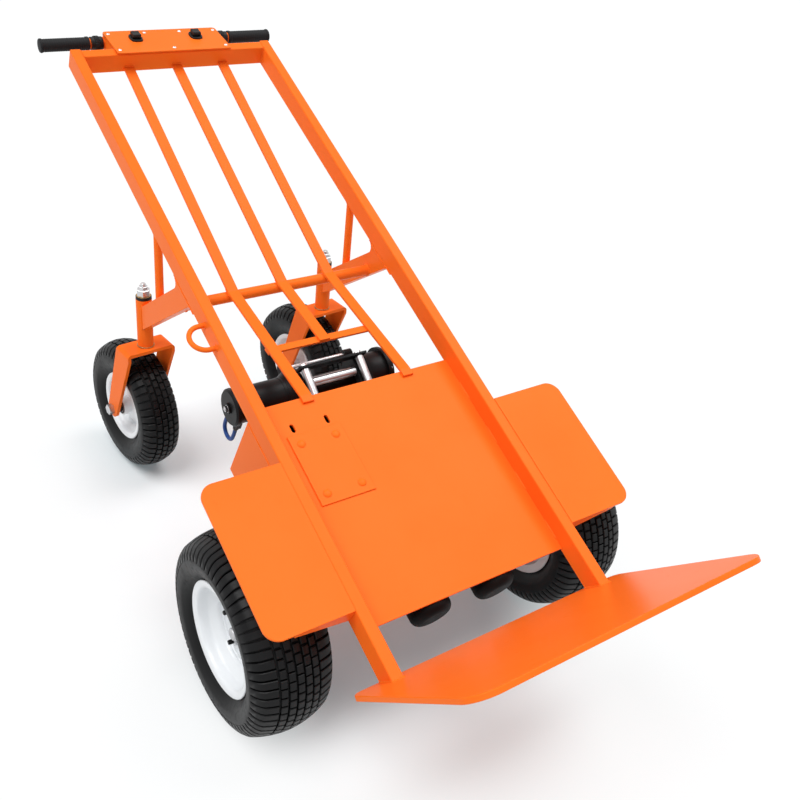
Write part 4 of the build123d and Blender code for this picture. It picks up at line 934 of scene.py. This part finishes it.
class CART_OT_kingpins(bpy.types.Operator):
    """Kingpins, their nuts and seals, and the casters' axle bolts and spacers"""

    bl_idname = "cart.kingpins"
    bl_label = "Bolt the casters"

    def execute(self, context):
        pin = [(363, 9.5), (527.4, 9.5), (528.1, 8.8), (528.1, 6), (542, 6), (543.1, 5), (543.1, 0)]
        washer = [(376.5, 17.6), (376.5, 20.2), (376.9, 20.6), (379.2, 20.6), (379.6, 20.2), (379.6, 17.6)]
        bolt = [(-66, 0), (-66, 8), (74.5, 8), (76, 6.6), (76, 0)]
        seal = [(504.0, 17.55), (504.0, 18.6), (510.6, 18.6), (511.4, 18.0), (511.4, 17.55)]
        spacer = [(40.3, 8), (40.3, 13.4), (40.9, 14), (53.4, 14), (54, 13.4), (54, 8)]
        for side, _ in SIDES:
            caster = f"{side}_caster"
            nodes = (f"{side}_caster_bolts",)
            swivel = Vector(JOINTS[f"{side}_caster_swivel"]["pos_m"]) * Vector((1, 1, 0))
            level = caster_axle(side)
            upright = stand(swivel, UPWARD, level.col[0].to_3d())
            shape = Shape().lathe(mm(pin), 40, upright)
            shape.hexagon(28, 359, 368, upright).hexagon(28, 512.3, 528, upright, hole=9.4)
            shape.hexagon(19, 528.1, 535.9, upright, hole=6)
            shape.lathe(mm(bolt), 32, level)
            head = level @ Matrix.Rotation(math.pi, 4, "Z")
            shape.hexagon(24, 62, 75.2, head).hexagon(24, 62, 71.9, level, hole=7.9)
            shape.piece(f"{side}_caster_pins", "bright_zinc", caster, stands_for=nodes)
            spacers = Shape()
            for end in (-1, 1):
                spacers.lathe(mm(spacer, end), 40, level)
            spacers.piece(f"{side}_axle_spacers", "satin_black", caster, stands_for=nodes)
            tube = stand(swivel, UPWARD, ACROSS)
            Shape().lathe(mm(seal), 48, tube).piece(f"{side}_dust_seal", "moulded_black", "chassis")
            Shape().lathe(mm(washer), 48, tube, wrap=True).piece(f"{side}_thrust_washer", "oiled_bronze", "chassis")
        return {"FINISHED"}


class CART_OT_fasteners(bpy.types.Operator):
    """Carriage bolts in the deck, hex bolts on the battery box and screws round the control cover"""

    bl_idname = "cart.fasteners"
    bl_label = "Drive the fasteners"

    def execute(self, context):
        cover_top, deck_under = -39, -47
        dome = [(0, 9), (1, 8.9), (2.1, 7.5), (2.9, 5.2), (3.35, 2.7), (3.45, 0)]
        tip = [(0, 4), (6, 4), (6.4, 3.4), (6.4, 0)]
        shape = Shape()
        for x in (-182.5, -103.5):
            for v in (364, 481):
                shape.lathe(mm(dome), 32, stand(on_rail(x, v, cover_top), OFF_RAIL, ACROSS))
                under = stand(on_rail(x, v, deck_under), -OFF_RAIL, ACROSS)
                shape.hexagon(13, 0, 6.4, under).lathe(mm(tip), 16, under)
        shape.piece("carriage_bolts", "powder_coat", "chassis", stands_for=("fasteners",))
        washer = [(0, 9.4), (1.1, 9.4), (1.3, 9.1), (1.3, 0)]
        button = [(0, 4.5), (0.7, 4.4), (1.7, 3.5), (2.3, 2.3), (2.45, 1.8), (2.45, 1.5), (0.9, 1.35), (0.9, 0)]
        box_rear = 564
        shape = Shape()
        for x in (-245, 245):
            for w in (-80, -214):
                head = stand(on_rail(x, box_rear, w), UP_RAIL, ACROSS)
                shape.lathe(mm(washer), 28, head).hexagon(13, 1.3, 7.4, head)
        rows = [(x, 14.5) for x in (-138, 0, 138)] + [(x, 94.5) for x in (-138, -46, 46, 138)]
        for x, back in rows:
            shape.lathe(mm(button), 24, stand(on_cover(x, back, 3), COVER_UP, ACROSS))
        shape.piece("box_bolts_and_cover_screws", "bright_zinc", "chassis", stands_for=("fasteners",))
        return {"FINISHED"}


class CART_OT_winch(bpy.types.Operator):
    """Motor nut, gearbox screws, bands and terminal boots on the winch"""

    bl_idname = "cart.winch"
    bl_label = "Dress the winch"

    def execute(self, context):
        socket = [(0, 3.3), (2.4, 3.3), (2.8, 2.9), (2.8, 1.7), (1.2, 1.6), (1.2, 0)]
        screw_circle, gearbox_end, motor_end = 46, 146, -241
        shape = Shape()
        for turn in around(10):
            spot = on_winch(gearbox_end, screw_circle * math.cos(turn), screw_circle * math.sin(turn))
            shape.lathe(mm(socket), 20, stand(spot, ACROSS, ALONG))
        end = stand(on_winch(motor_end, 0, 0), -ACROSS, ALONG)
        shape.lathe(mm([(0, 8.2), (0.7, 8.2), (1, 7.9), (1, 0)]), 32, end).hexagon(12.2, 1, 5.2, end)
        shape.lathe(mm([(5.2, 4), (6.2, 4), (6.6, 3.5), (6.6, 0)]), 20, end)
        shape.piece("winch_screws", "bright_zinc", "chassis")
        shape = Shape()
        axis = stand(WINCH, ACROSS, ALONG)
        for x in (-118, -204):
            band = [(x, 37.8), (x, 38.5), (x + 0.6, 38.9), (x + 5.4, 38.9), (x + 6, 38.5), (x + 6, 37.8)]
            shape.lathe(mm(band), 64, axis)
        shape.lathe(mm([(-225.3, 41.0), (-225.6, 41.5), (-228.4, 41.5), (-228.7, 41.0)]), 64, axis)
        shape.piece("winch_bands", "satin_black", "chassis")
        shape = Shape()
        boot = [(0, 6.8), (1, 7.2), (8, 6.6), (11, 5.8), (13.2, 5.1), (13.2, 4.4)]
        for v in (17, -22):
            shape.lathe(mm(boot), 28, stand(on_rail(LEAD_X, LEAD_V + v, LEAD_W - 44), -OFF_RAIL, UP_RAIL))
        shape.piece("terminal_boots", "moulded_black", "chassis")
        return {"FINISHED"}


class CART_OT_fairlead(bpy.types.Operator):
    """Bright rollers of the fairlead with their pins and nuts"""

    bl_idname = "cart.fairlead"
    bl_label = "Hang the fairlead rollers"

    def execute(self, context):
        upright = [(-52.7, 4), (-52.7, 7.6), (-51.3, 9), (24.3, 9), (25.7, 7.6), (25.7, 4)]
        pin = [(-57.7, 0), (-57.7, 3.4), (-57.1, 4), (36.5, 4), (37.2, 3.2), (37.2, 0)]
        cross = [(-55.5, 4), (-55.5, 8.4), (-53.9, 10), (53.9, 10), (55.5, 8.4), (55.5, 4)]
        rod = [(-60.8, 0), (-60.8, 3.3), (-60.1, 4), (60.1, 4), (60.8, 3.3), (60.8, 0)]
        rollers = (
            ("left", upright, pin, stand(on_winch(-68, 0, 62), ALONG, OUTWARD)),
            ("right", upright, pin, stand(on_winch(68, 0, 62), ALONG, OUTWARD)),
            ("upper", cross, rod, stand(on_winch(0, -1, 43.5), ACROSS, ALONG)),
            ("lower", cross, rod, stand(on_winch(0, -40, 43.5), ACROSS, ALONG)),
        )
        for name, sleeve, core, place in rollers:
            shape = Shape().lathe(mm(sleeve), 48).lathe(mm(core), 24)
            if core is pin:
                shape.hexagon(13, 31.3, 36.8, hole=3.9)
            shape.piece(f"{name}_mouth_roller", "bright_zinc", f"roller_{name}", place, (f"fairlead_roller_{name}",))
        return {"FINISHED"}


class CART_OT_grips(bpy.types.Operator):
    """Ribbed hand grips and knurled twist rings on the handlebar"""

    bl_idname = "cart.grips"
    bl_label = "Fit the grips"

    def execute(self, context):
        bar = Matrix.Translation((CONTROL_X, BAR.y, BAR.z))
        ribbed = [(184, 12.55), (184, 15.4), (185.1, 16.5), (189.8, 16.5), (191, 16.2), (193, 15)]
        for i in range(18):
            start = 195 + 5.4 * i
            ribbed += [(start, 14.9), (start + 0.9, 15.2), (start + 2.9, 15.2), (start + 3.8, 14.9)]
        ribbed += [(294.5, 15), (296, 16.2), (297, 16.5), (300.2, 16.5), (301.5, 15.6), (302, 14.2), (302, 0)]
        shape = Shape()
        for _, sign in SIDES:
            shape.lathe(mm(ribbed, sign), 48, bar)
        shape.piece("hand_grips", "grip_rubber", "chassis", stands_for=("grips",), angle=40.0)
        for side, sign in SIDES:
            rows = []
            for i, turn in enumerate(around(120)):
                crest = 17.5 if i % 4 < 2 else 16.6
                profile = [
                    (150.5, 12.55), (150.5, 14.8), (151.2, 15.5), (159.2, 15.5), (159.6, crest - 0.4), (160.2, crest),
                    (170.3, crest), (170.9, crest - 0.4), (171.3, 15.5), (179.3, 15.5), (180, 14.8), (180, 12.55),
                ]
                rows.append([bar @ spun(x, r, turn) for x, r in mm(profile, sign)])
            shape = Shape().sheet(rows, wrap_rows=True)
            shape.piece(
                f"{side}_knurled_ring", "moulded_black", f"ring_{side}", stands_for=(f"{side}_twist_ring",), angle=25.0,
            )
        return {"FINISHED"}


class CART_OT_switches(bpy.types.Operator):
    """Rocker switches in their bezels on the control cover"""

    bl_idname = "cart.switches"
    bl_label = "Fit the switches"

    def execute(self, context):
        levels = (
            (15.5, 18.5, 13.5, 3), (15.5, 18.5, 13.5, 6.2), (14.6, 17.6, 12.6, 7), (10.8, 12.5, 0.9, 7),
            (10.3, 12.0, 0.7, 6.5), (10.3, 12.0, 0.7, -9), (13, 16, 1, -9), (13, 16, 1, 3),
        )
        shape = Shape()
        for middle in (-78.5, 78.5):
            rows = [
                [on_cover(middle + x, ROCKER_BACK + y, up) for x, y in soft_frame(half_x, half_y, corner)]
                for half_x, half_y, corner, up in levels
            ]
            shape.sheet(rows, wrap_rows=True, wrap_columns=True)
        shape.piece("switch_surrounds", "moulded_black", "chassis", stands_for=("switch_bezels",))
        block = [
            (-7, 2.5), (-7, 10), (-9.6, 10), (-11, 11.3), (-11, 15.8), (-10.2, 17.4), (-8.6, 17.9), (-4.5, 17.2),
            (0, 16.9), (4.5, 17.2), (8.6, 17.9), (10.2, 17.4), (11, 15.8), (11, 11.3), (9.6, 10), (7, 10), (7, 2.5),
            (4.3, 2.5), (5, 0), (3.5, -3.5), (0, -5), (-3.5, -3.5), (-5, 0), (-4.3, 2.5),
        ]
        for side, _ in SIDES:
            place = stand(Vector(JOINTS[f"{side}_rocker_tip"]["pos_m"]), ACROSS, COVER_RUN)
            shape = Shape().prism(mm(block), -0.010, 0.010, 0.0008)
            shape.lathe(mm([(-12.3, 0), (-12.3, 2), (12.3, 2), (12.3, 0)]), 20)
            shape.piece(f"{side}_rocker_key", "moulded_black", f"rocker_{side}", place, (f"{side}_rocker",))
        return {"FINISHED"}


class CART_OT_welds(bpy.types.Operator):
    """Rippled weld beads where the frame's members meet"""

    bl_idname = "cart.welds"
    bl_label = "Weld the frame"

    def execute(self, context):
        welds = context.scene.cart_welds
        shape = Shape()
        tube_radius, brace_radius = 19, 9.5

        def run(*spots, size=1.0):
            shape.bead([on_rail(*spot) for spot in spots], welds.bead * size, welds.ripple)

        def ring(place, radius, size=0.8):
            path = [place @ spun(0, radius * MM, turn) for turn in around(20)]
            shape.bead(path, welds.bead * size, welds.ripple, True)

        for side, sign in SIDES:
            outer, inner = sign * 260, sign * 235
            # Toe plate
            toe = [(reach * math.cos(TOE), reach * math.sin(TOE) - 50) for reach in (3, 53.2)]
            run((outer, *toe[0]), (outer, *toe[1]), (inner, *toe[1]), (inner, *toe[0]))
            # Top crossbar
            run((inner, 1586, 0), (inner, 1609, 0), size=0.6)
            run((inner, 1585, -2), (inner, 1585, -48), size=0.8)
            # Deck and battery box
            for v in (112, 232, 352, 472):
                run((inner, v, -42), (inner, v + 46, -42))
            run((outer, 353, -50), (outer, 561, -50), size=0.6)
            # Caster arm, with the cross tube and the kingpin tube
            for x in (outer, inner):
                run((x, 842, -50), (x, 944, -50), size=0.6)
            ring(stand(on_rail(inner, 920, -121.5), ACROSS, UP_RAIL), 12.7, 1.0)
            kingpin = Vector(JOINTS[f"{side}_caster_swivel"]["pos_m"])
            for edge in (-12.5, 12.5):
                seam = [kingpin + Vector((edge * MM, -0.0143, rise * MM)) for rise in (-10, 47)]
                shape.bead(seam, welds.bead, welds.ripple)
            crest = [
                kingpin + Vector((edge * MM, -math.sqrt(tube_radius ** 2 - edge ** 2) * MM, 0.0505))
                for edge in (-12.5, -6, 0, 6, 12.5)
            ]
            shape.bead(crest, welds.bead, welds.ripple)
            # Caster brace and handlebar
            brace = []
            for turn in around(20):
                behind = 998 + brace_radius * math.sin(turn)
                v = (behind - 50 * math.cos(LEAN)) / math.sin(LEAN)
                brace.append(on_rail(sign * 247.5 + brace_radius * math.cos(turn), v, -50))
            shape.bead(brace, welds.bead, welds.ripple, True)
            ring(stand(Vector((CONTROL_X + sign * 0.1465, BAR.y, BAR.z)), ACROSS, UPWARD), 12.7)
        # Slats and tie loop
        for x in (-123.5, 0, 123.5):
            run((x - 11.5, 1585, -33), (x + 11.5, 1585, -33), size=0.8)
            for edge in (-12.5, 12.5):
                run((x + edge, 908, -105), (x + edge, 932, -107), size=0.7)
        for v in (733, 793):
            ring(stand(on_rail(-260, v, -25), ACROSS, UP_RAIL), 5.8, 0.9)
        shape.piece("frame_welds", "powder_coat", "chassis", angle=60.0)
        return {"FINISHED"}


PIECES = (
    CART_OT_stage, CART_OT_lead, CART_OT_paintwork, CART_OT_tyres, CART_OT_rims, CART_OT_kingpins, CART_OT_fasteners,
    CART_OT_winch, CART_OT_fairlead, CART_OT_grips, CART_OT_switches, CART_OT_welds,
)


class CART_PT_pieces(bpy.types.Panel):
    """The cart's settings and pieces"""

    bl_label = "Transport Cart"
    bl_idname = "CART_PT_pieces"
    bl_space_type = "VIEW_3D"
    bl_region_type = "UI"
    bl_category = "Cart"

    def draw(self, context):
        layout = self.layout
        scene = context.scene
        for group in (scene.cart_paint, scene.cart_tread, scene.cart_welds, scene.cart_stage):
            box = layout.box()
            for name in group.__annotations__:
                box.prop(group, name)
        column = layout.column()
        for piece in PIECES:
            column.operator(piece.bl_idname)


GROUPS = (
    ("cart_paint", CartPaint), ("cart_tread", CartTread), ("cart_welds", CartWelds), ("cart_stage", CartStage),
)


def register():
    for name, group in GROUPS:
        bpy.utils.register_class(group)
        setattr(bpy.types.Scene, name, PointerProperty(type=group))
    for piece in PIECES:
        bpy.utils.register_class(piece)
    bpy.utils.register_class(CART_PT_pieces)


def unregister():
    bpy.utils.unregister_class(CART_PT_pieces)
    for piece in reversed(PIECES):
        bpy.utils.unregister_class(piece)
    for name, group in reversed(GROUPS):
        delattr(bpy.types.Scene, name)
        bpy.utils.unregister_class(group)


def main():
    random.seed(SEED)
    register()
    for piece in PIECES:
        area, name = piece.bl_idname.split(".")
        getattr(getattr(bpy.ops, area), name)()


if __name__ == "__main__":
    main()
